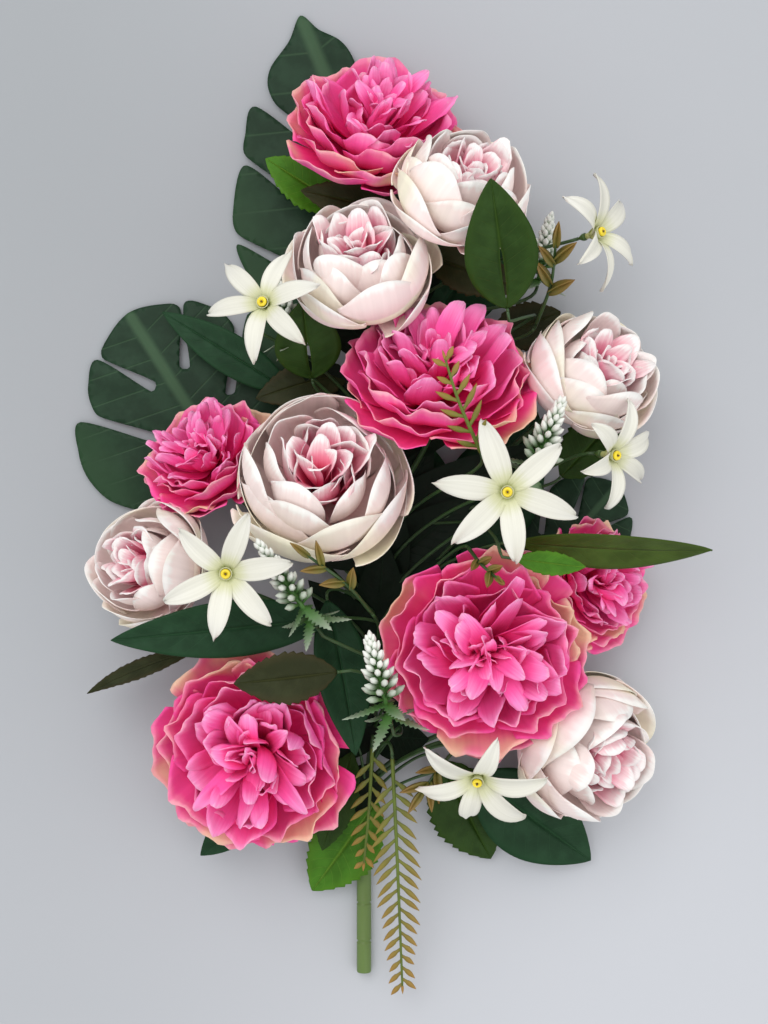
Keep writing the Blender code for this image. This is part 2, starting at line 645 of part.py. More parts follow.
def leafy_stem(line, radii, leaflets, flat_hint):
    """A square tube along a line. leaflets maps a segment to (side, length, width)."""
    bm = bmesh.new()
    rings = []
    frames = []
    for index, (point, radius) in enumerate(zip(line, radii)):
        direction = tangent_at(line, index)
        side, flat = frame_across(direction, flat_hint)
        frames.append((direction, side, flat))
        corners = [(1, -1), (1, 1), (-1, 1), (-1, -1)]
        rings.append([bm.verts.new(point + (side * a + flat * b) * radius) for a, b in corners])
    for segment, (lower, upper) in enumerate(zip(rings, rings[1:])):
        direction, side, flat = frames[segment]
        wanted = leaflets.get(segment, {})
        for face in range(4):
            after = (face + 1) % 4
            quad = [lower[face], lower[after], upper[after], upper[face]]
            sign = {0: 1, 2: -1}.get(face, 0)
            if sign in wanted and sign != 0:
                length, width = wanted[sign]
                draw_leaflet(bm, quad, side * sign, direction, flat, length, width)
            else:
                bm.faces.new(quad)
    bm.faces.new(list(reversed(rings[0])))
    bm.faces.new(rings[-1])
    return bm


def even_points(line, count):
    """The same line with this many evenly spaced points."""
    return [along(line, step / (count - 1))[0] for step in range(count)]


def frond_line(frond):
    return through([seen(frond.root), seen(frond.middle), seen(frond.tip)], 6)


def build_frond(frond):
    fine = frond_line(frond)
    start = fine[0] + tangent_at(fine, 0) * SEAT_GAP
    line = even_points([start] + fine[1:], 2 * frond.pairs + 2)
    radii = [FROND_STEM_RADIUS * (1 - 0.5 * k / (len(line) - 1)) for k in range(len(line))]
    leaflets = {}
    for pair in range(frond.pairs):
        share = pair / max(frond.pairs - 1, 1)
        length = frond.leaflet * (1 - 0.35 * share)
        leaflets[2 * pair + 1] = {1: (length, frond.width), -1: (length, frond.width)}
    add_object(frond.name, leafy_stem(line, radii, leaflets, FRONT), frond.colour)


# Flower spikes: a bare foot with two serrated leaves, then a knobbly cone of buds
SPIKE_SIDES = 6
SPIKE_ROWS = 7
SPIKE_FOOT_SHARE = 0.3


def build_spike(spike):
    root, tip = seen(spike.root), seen(spike.tip)
    direction = (tip - root).normalized()
    side, flat = frame_across(direction, FRONT)
    length = (tip - root).length
    profile = [(SEAT_GAP, FROND_STEM_RADIUS, 0), (length * SPIKE_FOOT_SHARE, FROND_STEM_RADIUS, 0)]
    for row in range(SPIKE_ROWS):
        share = row / (SPIKE_ROWS - 1)
        reach = spike.radius * (0.35 + 0.65 * math.sin(math.pi * (0.22 + 0.72 * share)))
        height = length * (SPIKE_FOOT_SHARE + 0.06 + (0.90 - SPIKE_FOOT_SHARE) * share)
        profile.append((height, reach, 0.30 if row % 2 else -0.30))
    profile.append((length, 0.6, 0))
    loops = []
    for height, radius, knob in profile:
        loops.append([])
        for k in range(SPIKE_SIDES):
            angle = 2 * math.pi * k / SPIKE_SIDES
            reach = radius * (1 + knob * (1 if k % 2 else -1) * 0.6)
            outward = side * math.cos(angle) + flat * math.sin(angle)
            loops[-1].append(root + direction * height + outward * reach)
    bm = bmesh.new()
    skin(bm, loops)
    add_object(spike.name, bm, "spike_white")


# Where every piece sits on the stem tree


def flower_tip(root, facing, share):
    return Tip(root, facing, BRANCH_RADIUS, BRANCH_SIDES, 4, 34, CALYX_RADIUS, CALYX_HEIGHT, share)


def twig_tip(root, facing, share, calyx=TWIG_RADIUS, cup=2.0, run_in=16):
    return Tip(root, facing, TWIG_RADIUS, TWIG_SIDES, 3, run_in, calyx, cup, share)


def petiole_tip(root, facing, share):
    return Tip(root, facing, PETIOLE_RADIUS, PETIOLE_SIDES, 3, 12, PETIOLE_RADIUS, 1.5, share)


def tips_of_stems():
    """Every tip of the stem tree by the name of the piece on it. The trunk's own tip holds the top head."""
    tips = {}
    for head in PEONIES:
        name = "trunk" if head.share >= 1 else head.name
        tips[name] = flower_tip(*head_root(head), head.share)
    for lily in LILIES:
        tips[lily.name] = twig_tip(*lily_root(lily), lily.share, LILY_CALYX_RADIUS, LILY_TUBE / 2, 30)
    for leaf in LEAVES + MONSTERAS:
        root, _, direction, _, _ = leaf_axes(leaf)
        tips[leaf.name] = petiole_tip(root, direction, leaf.share)
    for frond in FRONDS:
        tips[frond.name] = twig_tip(seen(frond.root), tangent_at(frond_line(frond), 0), frond.share)
    for spike in SPIKES:
        direction = (seen(spike.tip) - seen(spike.root)).normalized()
        tips[spike.name] = twig_tip(seen(spike.root), direction, spike.share)
    return tips


def main():
    for old in list(bpy.data.objects):
        bpy.data.objects.remove(old)
    build_handle()
    build_stems(tips_of_stems())
    for head in PEONIES:
        build_peony(head)
    for lily in LILIES:
        build_lily(lily)
    for leaf in LEAVES:
        build_leaf(leaf)
    for leaf, shape in zip(MONSTERAS, MONSTERA_SHAPES):
        build_monstera(leaf, *shape)
    for frond in FRONDS:
        build_frond(frond)
    for spike in SPIKES:
        build_spike(spike)


main()
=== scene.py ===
"""Looks of the artificial peony bush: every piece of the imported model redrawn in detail.

Sizes are in millimetres until a mesh is made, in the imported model's frame: the origin is the
centre of the handle's cut end, +Y runs up the handle and +Z out of the front of the bush.
"""

import math
from collections import namedtuple

import bpy
import numpy as np
from mathutils import Matrix, Vector
from mathutils.geometry import delaunay_2d_cdt


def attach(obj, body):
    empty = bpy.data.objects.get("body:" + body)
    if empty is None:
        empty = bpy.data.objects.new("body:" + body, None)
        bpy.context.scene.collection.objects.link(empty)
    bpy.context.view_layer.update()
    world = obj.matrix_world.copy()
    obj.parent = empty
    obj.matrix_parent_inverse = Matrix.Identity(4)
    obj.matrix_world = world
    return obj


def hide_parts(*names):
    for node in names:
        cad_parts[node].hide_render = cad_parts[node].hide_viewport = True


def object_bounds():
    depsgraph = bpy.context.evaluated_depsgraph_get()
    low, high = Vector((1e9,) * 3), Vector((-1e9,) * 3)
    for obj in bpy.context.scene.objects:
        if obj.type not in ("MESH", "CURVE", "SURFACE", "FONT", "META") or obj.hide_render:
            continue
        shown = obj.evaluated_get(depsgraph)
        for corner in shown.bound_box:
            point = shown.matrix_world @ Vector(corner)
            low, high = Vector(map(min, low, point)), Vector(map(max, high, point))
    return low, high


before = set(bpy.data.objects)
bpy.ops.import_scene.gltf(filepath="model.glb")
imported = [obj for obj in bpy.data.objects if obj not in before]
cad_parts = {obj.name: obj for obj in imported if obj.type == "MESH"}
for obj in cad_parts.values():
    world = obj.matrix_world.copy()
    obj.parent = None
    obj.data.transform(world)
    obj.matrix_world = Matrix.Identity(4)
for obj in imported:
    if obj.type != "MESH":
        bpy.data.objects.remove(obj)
CAD_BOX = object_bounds()

MM = 0.001
TINY = 1e-6
EYE = Vector((12.0, 276.0, 1000.0))
FRONT = Vector((0.0, 0.0, 1.0))
UP_THE_STEM = Vector((0.0, 1.0, 0.0))
SEAT_GAP = 0.3

# Cloth that would go below the floor settles on it: how low it lies, and how softly it meets it.
FLOOR_DROP = 0.5
LOWEST_CLOTH = CAD_BOX[0].z / MM
SETTLE = 0.8

# How thick the thin pieces are: peony petals, other cloth, and stiff leaves and leaflets.
PETAL_THICKNESS = 0.35
CLOTH_THICKNESS = 0.4
STIFF_THICKNESS = 0.5

# The same layout as in the part's source.
Peony = namedtuple("Peony", "name kind place facing radius spin share")
Lily = namedtuple("Lily", "name place facing petal spin share")
Leaf = namedtuple("Leaf", "name look root tip width roll arch share")
Frond = namedtuple("Frond", "name kind root middle tip leaflet share")
Spike = namedtuple("Spike", "name root tip radius share")
Tip = namedtuple("Tip", "place facing radius run_in calyx cup share")

HANDLE_RADIUS = 4.3
HANDLE_LENGTH = 84.0
SOCKET_DEPTH = 12.0
RING_PLACES = (19.0, 42.0, 65.0)
TRUNK_RADIUS = 2.6
TRUNK_TIP_RADIUS = 1.7
BRANCH_RADIUS = 1.5
TWIG_RADIUS = 1.0
PETIOLE_RADIUS = 0.9
CALYX_RADIUS = 6.0
CALYX_HEIGHT = 7.0
LILY_CALYX_RADIUS = 2.2
LILY_TUBE = 10.0
DETOUR_RUN_IN = 6.0
HEAD_RUN_IN = 34
LILY_RUN_IN = 30
TWIG_RUN_IN = 16
PETIOLE_RUN_IN = 12
PETIOLE_CUP = 1.5
TWIG_CUP = 2.0
CURVE_REACH = 2.6
RUFFLED_HEIGHT = 0.95
CUPPED_HEIGHT = 1.12
HEART_SHARE = 0.55

TRUNK_ROUTE = [
    (0, 96, 1), (5, 139, 6), (8, 199, 10), (11, 259, 11), (10, 319, 11), (7, 379, 11), (7, 430, 14),
]

DETOURS = {
    "lance_leaf_top_right": [(60, 370, 16), (100, 392, 26), (97, 393, 60)],
    "bright_leaf_middle": [(62, 270, 26), (70, 269, 72), (79, 260, 93)],
    "flower_spike_bottom": [(20, 146, 40), (22, 143, 66)],
    "folded_leaf_lower_left": [(16, 170, 44), (14, 176, 74)],
    "flower_spike_left": [(13, 188, 44), (6, 188, 66)],
    "lance_leaf_left": [(12, 206, 36)],
    "lily_upper_left": [(-30, 366, 26), (-62, 384, 36), (-66, 397, 60)],
}

PEONIES = [
    Peony("pink_peony_top", "ruffled", (10, 513, 40), (0.15, 0.66, 0.73), 52, 10, 1.0),
    Peony("blush_peony_top_right", "cupped", (62, 473, 84), (0.30, 0.60, 0.74), 40, 30, 0.80),
    Peony("blush_peony_upper", "cupped", (-2, 427, 73), (-0.08, 0.60, 0.80), 43, 50, 0.66),
    Peony("pink_peony_upper", "ruffled", (45, 365, 72), (0.02, 0.68, 0.73), 55, 20, 0.46),
    Peony("blush_peony_right", "cupped", (140, 361, 55), (0.50, 0.50, 0.70), 40, 15, 0.36),
    Peony("pink_peony_left", "ruffled", (-96, 313, 35), (-0.30, 0.60, 0.74), 40, 40, 0.32),
    Peony("blush_peony_middle", "cupped", (-26, 299, 74), (0.02, 0.42, 0.91), 51, 65, 0.38),
    Peony("blush_peony_left", "cupped", (-132, 245, 46), (-0.62, 0.20, 0.76), 38, 25, 0.25),
    Peony("pink_peony_lower_right", "ruffled", (74, 190, 86), (0.04, -0.02, 1.00), 57, 0, 0.14),
    Peony("pink_peony_lower_left", "ruffled", (-67, 129, 66), (-0.12, -0.15, 0.98), 57, 33, 0.06),
    Peony("pink_peony_right", "ruffled", (143, 234, 36), (0.62, 0.10, 0.78), 38, 12, 0.22),
    Peony("blush_peony_lower_right", "cupped", (137, 132, 42), (0.66, -0.28, 0.70), 48, 45, 0.10),
]

LILIES = [
    Lily("lily_upper_left", (-61, 402, 94), (-0.25, 0.10, 0.96), 34, 12, 0.62),
    Lily("lily_upper_right", (142, 444, 66), (0.75, 0.15, 0.60), 34, 40, 0.74),
    Lily("lily_middle", (86, 288, 112), (0.00, -0.05, 1.00), 41, 45, 0.40),
    Lily("lily_right", (151, 310, 78), (0.70, -0.10, 0.70), 34, 20, 0.30),
    Lily("lily_left", (-83, 239, 104), (0.02, -0.10, 1.00), 38, 20, 0.29),
    Lily("lily_bottom", (68, 114, 84), (-0.15, -0.60, 0.78), 38, 10, 0.09),
]

LEAVES = [
    Leaf("lance_leaf_top_right", "mid", (86, 398, 84), (76, 476, 122), 40, 0, 3, 0.70),
    Leaf("round_leaf_upper_left", "mid", (-31, 356, 38), (-37, 403, 58), 38, 0, 3, 0.58),
    Leaf("lance_leaf_right", "fresh", (92, 258, 82), (209, 253, 70), 30, 50, 2, 0.33),
    Leaf("lance_leaf_left", "dark", (-20, 212, 60), (-152, 199, 74), 32, 0, 2, 0.24),
    Leaf("lance_leaf_centre", "dark", (-22, 223, 48), (-5, 130, 56), 32, -20, 3, 0.34),
    Leaf("broad_leaf_bottom_right", "dark", (66, 118, 15), (136, 67, 4), 50, 0, 3, 0.06),
    Leaf("narrow_leaf_left", "olive", (-101, 193, 34), (-166, 167, 26), 16, 45, 3, 0.20),
    Leaf("folded_leaf_lower_left", "olive", (-16, 180, 88), (-78, 173, 96), 30, 0, 2, 0.18),
    Leaf("small_leaf_bottom_left", "dark", (-61, 103, 22), (-98, 70, 20), 22, 0, 1, 0.05),
    Leaf("bright_leaf_bottom", "bright", (8, 103, 12), (-31, 49, 6), 44, 0, 2, 0.05),
    Leaf("leaf_beside_bottom", "mid", (-7, 132, 26), (-25, 73, 18), 26, 10, 2, 0.08),
    Leaf("serrated_leaf_bottom_right", "mid", (46, 127, 8), (76, 68, 2), 46, 0, 2, 0.07),
    Leaf("lance_leaf_beside_middle", "dark", (53, 247, 7), (14, 336, 5), 40, 0, 1, 0.31),
    Leaf("lance_leaf_below_middle", "dark", (-8, 199, 1.6), (37, 271, 1.6), 42, 0, 0, 0.26),
    Leaf("bright_leaf_top_left", "bright", (-11, 457, 12), (-59, 488, 22), 30, 0, 2, 0.86),
    Leaf("olive_leaf_top", "olive", (25, 454, 20), (-38, 469, 36), 26, 0, 2, 0.84),
    Leaf("olive_leaf_upper_right", "olive", (37, 430, 36), (94, 409, 44), 30, 0, 3, 0.78),
    Leaf("olive_leaf_right", "olive", (76, 379, 9), (118, 396, 10), 30, 0, 1, 0.62),
    Leaf("serrated_leaf_right", "mid", (118, 297, 28), (152, 334, 22), 34, 0, 3, 0.42),
    Leaf("olive_leaf_middle_left", "olive", (-8, 360, 13), (-65, 344, 18), 28, 10, 3, 0.56),
    Leaf("lance_leaf_upper_left", "dark", (-44, 348, 12), (-121, 396, 10), 24, 0, 3, 0.54),
    Leaf("backing_leaf_middle", "dark", (52, 244, 2), (104, 336, 1), 58, 0, 0, 0.36),
    Leaf("backing_leaf_centre", "dark", (2, 160, -3), (54, 244, -3), 56, 0, 0, 0.20),
    Leaf("backing_leaf_top", "dark", (36, 384, 4), (84, 452, 6), 52, 0, 1, 0.68),
    Leaf("bright_leaf_middle", "bright", (91, 248, 100), (133, 243, 94), 14, 10, 1, 0.48),
]

# Leaves of these looks have toothed rims, apart from the slotted ones.
SERRATED_LOOKS = {"mid", "bright", "olive"}
SLOTTED = {"round_leaf_upper_left", "lance_leaf_top_right"}

MONSTERAS = [
    Leaf("monstera_leaf_top", "monstera", (26, 418, -1.6), (-38, 573, -3.8), 176, 0, 3, 0.63),
    Leaf("monstera_leaf_left", "monstera", (-80, 300, -1.6), (-141, 395, -3.8), 144, 0, 3, 0.34),
    Leaf("monstera_leaf_right", "monstera", (98, 232, -1.6), (152, 292, -3.8), 84, 0, 3, 0.28),
]

FOUR_LOBED = [
    (0.93, 0.14), (0.87, 0.32), (0.81, 0.39), (0.73, 0.38), (0.57, 0.20), (0.55, 0.27),
    (0.76, 0.52), (0.68, 0.66), (0.61, 0.71), (0.42, 0.49), (0.40, 0.53),
    (0.58, 0.74), (0.44, 0.94), (0.36, 0.96), (0.20, 0.70), (0.18, 0.75),
    (0.33, 0.99), (0.20, 1.00), (0.06, 0.88), (-0.05, 0.62), (-0.08, 0.34),
]
THREE_LOBED = [
    (0.99, 0.10), (0.96, 0.22), (0.91, 0.36), (0.86, 0.38), (0.61, 0.12), (0.58, 0.19),
    (0.88, 0.43), (0.79, 0.61), (0.71, 0.67), (0.62, 0.67), (0.36, 0.32), (0.34, 0.39),
    (0.65, 0.83), (0.52, 0.98), (0.38, 1.03), (0.22, 0.98), (0.08, 0.80), (-0.02, 0.55), (-0.06, 0.28),
]

# The outline of each monstera leaf, and the share of its width that its right half keeps.
MONSTERA_SHAPES = ((FOUR_LOBED, 0.56), (THREE_LOBED, 1.0), (THREE_LOBED, 1.0))

FRONDS = [
    Frond("fern_bottom", "fern", (17, 128, 56), (20, 66, 42), (23, -8, 14), 17, 0.12),
    Frond("fern_bottom_left", "fern", (5, 134, 40), (3, 98, 36), (0, 66, 28), 13, 0.11),
    Frond("fern_upper", "fern", (70, 312, 104), (57, 342, 119), (49, 367, 124), 15, 0.44),
    Frond("bud_sprig_top_right", "buds", (103, 388, 44), (112, 412, 62), (115, 436, 74), 18, 0.66),
    Frond("bud_sprig_middle", "buds", (4, 216, 76), (-10, 232, 96), (-34, 250, 104), 16, 0.27),
    Frond("bud_sprig_bottom", "buds", (55, 134, 54), (45, 122, 58), (35, 108, 60), 18, 0.09),
    Frond("bud_sprig_right", "buds", (63, 254, 78), (70, 245, 98), (80, 236, 110), 12, 0.29),
]

SPIKES = [
    Spike("flower_spike_bottom", (16, 150, 88), (3, 202, 108), 11, 0.13),
    Spike("flower_spike_right", (98, 294, 72), (119, 343, 92), 11, 0.35),
    Spike("flower_spike_left", (-29, 208, 82), (-64, 258, 106), 10, 0.23),
    Spike("flower_spike_top_right", (104, 412, 26), (112, 454, 34), 8, 0.72),
    Spike("flower_spike_upper_left", (-42, 374, 42), (-52, 418, 44), 8, 0.57),
]


# Lines and frames, as in the part's source


def seen(place):
    """The point at height z that the eye sees at x, y on the table."""
    x, y, z = place
    nearer = (EYE.z - z) / EYE.z
    return Vector((EYE.x + (x - EYE.x) * nearer, EYE.y + (y - EYE.y) * nearer, z))


def bezier(start, leave, end, arrive, run_in, share):
    """The point at a share of the way along the cubic curve with these end directions."""
    reach = (end - start).length / CURVE_REACH
    first = start + leave * reach
    second = end - arrive * min(run_in, reach)
    rest = 1 - share
    return (
        start * rest**3
        + first * 3 * rest**2 * share
        + second * 3 * rest * share**2
        + end * share**3
    )


def through(points, spacing):
    """A smooth line through the points: Catmull-Rom, with about this spacing."""
    padded = [2 * points[0] - points[1]] + points + [2 * points[-1] - points[-2]]
    line = [points[0]]
    for a, b, c, d in zip(padded, padded[1:], padded[2:], padded[3:]):
        steps = max(1, round((c - b).length / spacing))
        for step in range(1, steps + 1):
            t = step / steps
            straight = 2 * b + (c - a) * t
            bend = (2 * a - 5 * b + 4 * c - d) * t**2
            line.append(0.5 * (straight + bend + (3 * b - a - 3 * c + d) * t**3))
    return line


def tangent_at(line, index):
    before = line[max(index - 1, 0)]
    after = line[min(index + 1, len(line) - 1)]
    return (after - before).normalized()


def along(line, share):
    """The point and the direction at a share of a line's length."""
    left = share * sum((b - a).length for a, b in zip(line, line[1:]))
    for a, b in zip(line, line[1:]):
        step = b - a
        if left <= step.length:
            break
        left -= step.length
    return a + step.normalized() * min(left, step.length), step.normalized()


def frame_across(direction, hint):
    """Two unit vectors across a direction, the second as near the hint as it can be."""
    side = direction.cross(hint)
    if side.length < TINY:
        side = direction.cross(UP_THE_STEM)
    side.normalize()
    return side, side.cross(direction).normalized()


def around(side, up, angle):
    """The direction at an angle from side towards up."""
    return side * math.cos(angle) + up * math.sin(angle)


def head_frame(head, root, facing):
    """The turn and the shift that take a flower's own frame to its place above its root."""
    turn = FRONT.rotation_difference(facing).to_matrix().to_4x4()
    spin = Matrix.Rotation(math.radians(head.spin), 4, "Z")
    whole = Matrix.Translation(root + facing * SEAT_GAP) @ turn @ spin
    return np.array(whole.to_3x3()), np.array(whole.translation)


def head_height(head):
    return head.radius * (RUFFLED_HEIGHT if head.kind == "ruffled" else CUPPED_HEIGHT)


def head_root(head):
    facing = Vector(head.facing).normalized()
    return seen(head.place) - facing * (HEART_SHARE * head_height(head)), facing


def lily_root(lily):
    facing = Vector(lily.facing).normalized()
    return seen(lily.place) - facing * LILY_TUBE, facing


def leaf_axes(leaf):
    """Root, tip, length direction, width direction and face normal of a leaf."""
    root, tip = seen(leaf.root), seen(leaf.tip)
    direction = (tip - root).normalized()
    side, normal = frame_across(direction, FRONT)
    roll = Matrix.Rotation(math.radians(leaf.roll), 3, direction)
    return root, tip, direction, roll @ side, roll @ normal


# Meshes: a sheet gathers grids of points with four marks a point, which the materials read


def linked(name, data):
    """A new object of the scene with this data."""
    obj = bpy.data.objects.new(name, data)
    bpy.context.scene.collection.objects.link(obj)
    return obj


class Sheet:
    def __init__(self):
        self.points = []
        self.marks = []
        self.faces = []
        self.slots = []
        self.count = 0

    def add(self, points, marks, faces, slot=0):
        """points n x 3, marks n x 4 (across, along, layer, tone), faces index into these points."""
        self.points.append(np.asarray(points, float).reshape(-1, 3))
        self.marks.append(np.asarray(marks, float).reshape(-1, 4))
        self.faces += [tuple(self.count + k for k in face) for face in faces]
        self.slots += [slot] * len(faces)
        self.count += len(self.points[-1])

    def grid(self, points, marks, slot=0, wrap=False):
        """A grid of rows x columns x 3. A wrapped one closes round its columns."""
        rows, columns = points.shape[:2]
        span = columns if wrap else columns - 1
        faces = []
        for r in range(rows - 1):
            for c in range(span):
                d = (c + 1) % columns
                low, high = r * columns, (r + 1) * columns
                faces.append((low + c, low + d, high + d, high + c))
        self.add(points.reshape(-1, 3), marks.reshape(-1, 4), faces, slot)

    def piece(self, name, node, materials, thickness=0.0):
        """Makes the mesh in metres, and rides it on the bush in place of its node."""
        mesh = bpy.data.meshes.new(name)
        points = np.concatenate(self.points)
        if thickness:
            above = points[:, 2] - LOWEST_CLOTH
            points[:, 2] = LOWEST_CLOTH + SETTLE * np.logaddexp(0, above / SETTLE)
        mesh.from_pydata((points * MM).tolist(), [], self.faces)
        marks = np.concatenate(self.marks)
        for column, mark in enumerate(("across", "along", "layer", "tone")):
            layer = mesh.attributes.new(mark, "FLOAT", "POINT")
            layer.data.foreach_set("value", marks[:, column].astype(np.float32))
        for material in materials:
            mesh.materials.append(material)
        mesh.polygons.foreach_set("material_index", self.slots)
        mesh.shade_smooth()
        obj = linked(name, mesh)
        if thickness:
            solid = obj.modifiers.new("thickness", "SOLIDIFY")
            solid.thickness = thickness * MM
            solid.offset = 0.0
        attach(obj, "root")
        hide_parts(node)
        return obj


def tube_into(sheet, line, radii, sides, layer=0.0):
    """A round closed tube along a line, with marks that run from its start to its end."""
    before = tangent_at(line, 0)
    side, across = frame_across(before, FRONT)
    turns = [2 * math.pi * k / sides for k in range(sides)]
    loops = [[line[0]] * sides]
    for index, (point, radius) in enumerate(zip(line, radii)):
        direction = tangent_at(line, index)
        carried = before.rotation_difference(direction)
        side, across, before = carried @ side, carried @ across, direction
        loops.append([point + around(side, across, a) * radius for a in turns])
    loops.append([line[-1]] * sides)
    v, u = unit_grid(len(loops), np.linspace(-1, 1, sides))
    sheet.grid(np.array([[list(p) for p in loop] for loop in loops]), marks_of(u, v, layer), wrap=True)


def unit_grid(rows, across):
    """Two grids: the share of the length, which grows row by row, and the places across."""
    v = np.linspace(0, 1, rows)[:, None] * np.ones((1, len(across)))
    return v, np.ones((rows, 1)) * np.asarray(across)[None, :]


def marks_of(across, lengthwise, layer=0.0, tone=0.0):
    """The four marks of each point of a grid."""
    return np.stack([across, lengthwise] + [np.full_like(across, m) for m in (layer, tone)], axis=-1)


def as_arrays(vectors):
    return [np.array(list(v)) for v in vectors]


# Materials


def shader_of(name, roughness, specular, sheen=0.0):
    material = bpy.data.materials.new(name)
    material.use_nodes = True
    tree = material.node_tree
    shader = tree.nodes["Principled BSDF"]
    shader.inputs["Roughness"].default_value = roughness
    shader.inputs["Specular IOR Level"].default_value = specular
    shader.inputs["Sheen Weight"].default_value = sheen
    return material, tree, shader


def mark(tree, name):
    made = tree.nodes.new("ShaderNodeAttribute")
    made.attribute_name = name
    return made.outputs["Fac"]


def maths(tree, operation, a, b=0.0, clamp=False):
    made = tree.nodes.new("ShaderNodeMath")
    made.operation = operation
    made.use_clamp = clamp
    for socket, value in zip(made.inputs, (a, b)):
        if isinstance(value, (int, float)):
            socket.default_value = value
        else:
            tree.links.new(value, socket)
    return made.outputs[0]


def times(tree, a, b):
    return maths(tree, "MULTIPLY", a, b)


def span(tree, value, low, high, to_low=0.0, to_high=1.0):
    made = tree.nodes.new("ShaderNodeMapRange")
    made.interpolation_type = "SMOOTHSTEP"
    tree.links.new(value, made.inputs["Value"])
    made.inputs["From Min"].default_value = low
    made.inputs["From Max"].default_value = high
    made.inputs["To Min"].default_value = to_low
    made.inputs["To Max"].default_value = to_high
    return made.outputs[0]


def ramp(tree, value, stops):
    made = tree.nodes.new("ShaderNodeValToRGB")
    made.color_ramp.interpolation = "EASE"
    elements = made.color_ramp.elements
    while len(elements) > 1:
        elements.remove(elements[-1])
    elements[0].position, elements[0].color = stops[0][0], (*stops[0][1], 1)
    for place, colour in stops[1:]:
        elements.new(place).color = (*colour, 1)
    tree.links.new(value, made.inputs[0])
    return made.outputs[0]


def blend_colours(tree, factor, a, b):
    made = tree.nodes.new("ShaderNodeMix")
    made.data_type = "RGBA"
    made.clamp_factor = True
    for socket, value in ((made.inputs[0], factor), (made.inputs[6], a), (made.inputs[7], b)):
        if isinstance(value, (int, float)):
            socket.default_value = value
        elif isinstance(value, tuple):
            socket.default_value = (*value, 1)
        else:
            tree.links.new(value, socket)
    return made.outputs[2]


def marked_place(tree, across, lengthwise, tone):
    """A texture place made of the marks, so that a pattern runs along each petal or leaf."""
    joined = tree.nodes.new("ShaderNodeCombineXYZ")
    for socket, name, scale in zip(joined.inputs, ("across", "along", "tone"), (across, lengthwise, tone)):
        tree.links.new(times(tree, mark(tree, name), scale), socket)
    return joined.outputs[0]


def noise(tree, place, scale, detail=2.0, roughness=0.5):
    made = tree.nodes.new("ShaderNodeTexNoise")
    made.inputs["Scale"].default_value = scale
    made.inputs["Detail"].default_value = detail
    made.inputs["Roughness"].default_value = roughness
    tree.links.new(place, made.inputs["Vector"])
    return made.outputs["Fac"]


def object_place(tree):
    return tree.nodes.new("ShaderNodeTexCoord").outputs["Object"]


def weave(tree, threads):
    """Two crossed sets of fine threads, as a height."""
    heights = []
    for direction in ("X", "Y"):
        wave = tree.nodes.new("ShaderNodeTexWave")
        wave.bands_direction = direction
        wave.inputs["Scale"].default_value = threads
        wave.inputs["Distortion"].default_value = 0.0
        tree.links.new(object_place(tree), wave.inputs["Vector"])
        heights.append(wave.outputs["Fac"])
    return maths(tree, "ADD", heights[0], heights[1])


def bump(tree, shader, height, strength, distance, before=None):
    made = tree.nodes.new("ShaderNodeBump")
    made.inputs["Strength"].default_value = strength
    made.inputs["Distance"].default_value = distance * MM
    tree.links.new(height, made.inputs["Height"])
    if before is not None:
        tree.links.new(before, made.inputs["Normal"])
    tree.links.new(made.outputs[0], shader.inputs["Normal"])
    return made.outputs[0]


PETAL_ROUGHNESS = 0.6
PETAL_SHEEN = 0.03
PETAL_SPECULAR = 0.18
LEAF_SPECULAR = 0.16
PLASTIC_SPECULAR = 0.5
PETAL_THREADS = 900.0
LEAF_THREADS = 700.0
STREAK_BLUR = 0.18
VEIN_SLANT = 0.16


def petal_material(name, outer, inner, patch, band, patched=(0.13, 0.26), switch=(0.25, 0.5)):
    """Printed fabric: colours for outer and inner petals, and a patch colour on some outer ones."""
    material, tree, shader = shader_of(name, PETAL_ROUGHNESS, PETAL_SPECULAR, PETAL_SHEEN)
    streaks = noise(tree, marked_place(tree, 6.0, 0.7, 31.0), 1.0, 2.0, 0.55)
    blur = times(tree, maths(tree, "SUBTRACT", streaks, 0.5), STREAK_BLUR)
    shifted = maths(tree, "ADD", mark(tree, "along"), blur, clamp=True)
    depth = span(tree, mark(tree, "layer"), *switch)
    # The ramps carry some painted shade at the hot pink feet and some painted highlight at the blush rims.
    colour = blend_colours(tree, depth, ramp(tree, shifted, outer), ramp(tree, shifted, inner))
    cloud = noise(tree, marked_place(tree, 0.8, 0.9, 47.0), 1.0, 1.0, 0.5)
    outermost = span(tree, mark(tree, "layer"), *patched, 1.0, 0.0)
    patchy = times(tree, span(tree, cloud, 0.47, 0.62), span(tree, shifted, *band))
    colour = blend_colours(tree, times(tree, patchy, outermost), colour, patch)
    tinted = tree.nodes.new("ShaderNodeHueSaturation")
    tree.links.new(colour, tinted.inputs["Color"])
    streaked = span(tree, streaks, 0.3, 0.7, 0.96, 1.03)
    toned = span(tree, mark(tree, "tone"), 0.0, 1.0, 0.95, 1.04)
    tree.links.new(times(tree, streaked, toned), tinted.inputs["Value"])
    tree.links.new(tinted.outputs[0], shader.inputs["Base Color"])
    height = maths(tree, "ADD", streaks, times(tree, weave(tree, PETAL_THREADS), 0.03))
    bump(tree, shader, height, 0.25, 0.8)
    return material


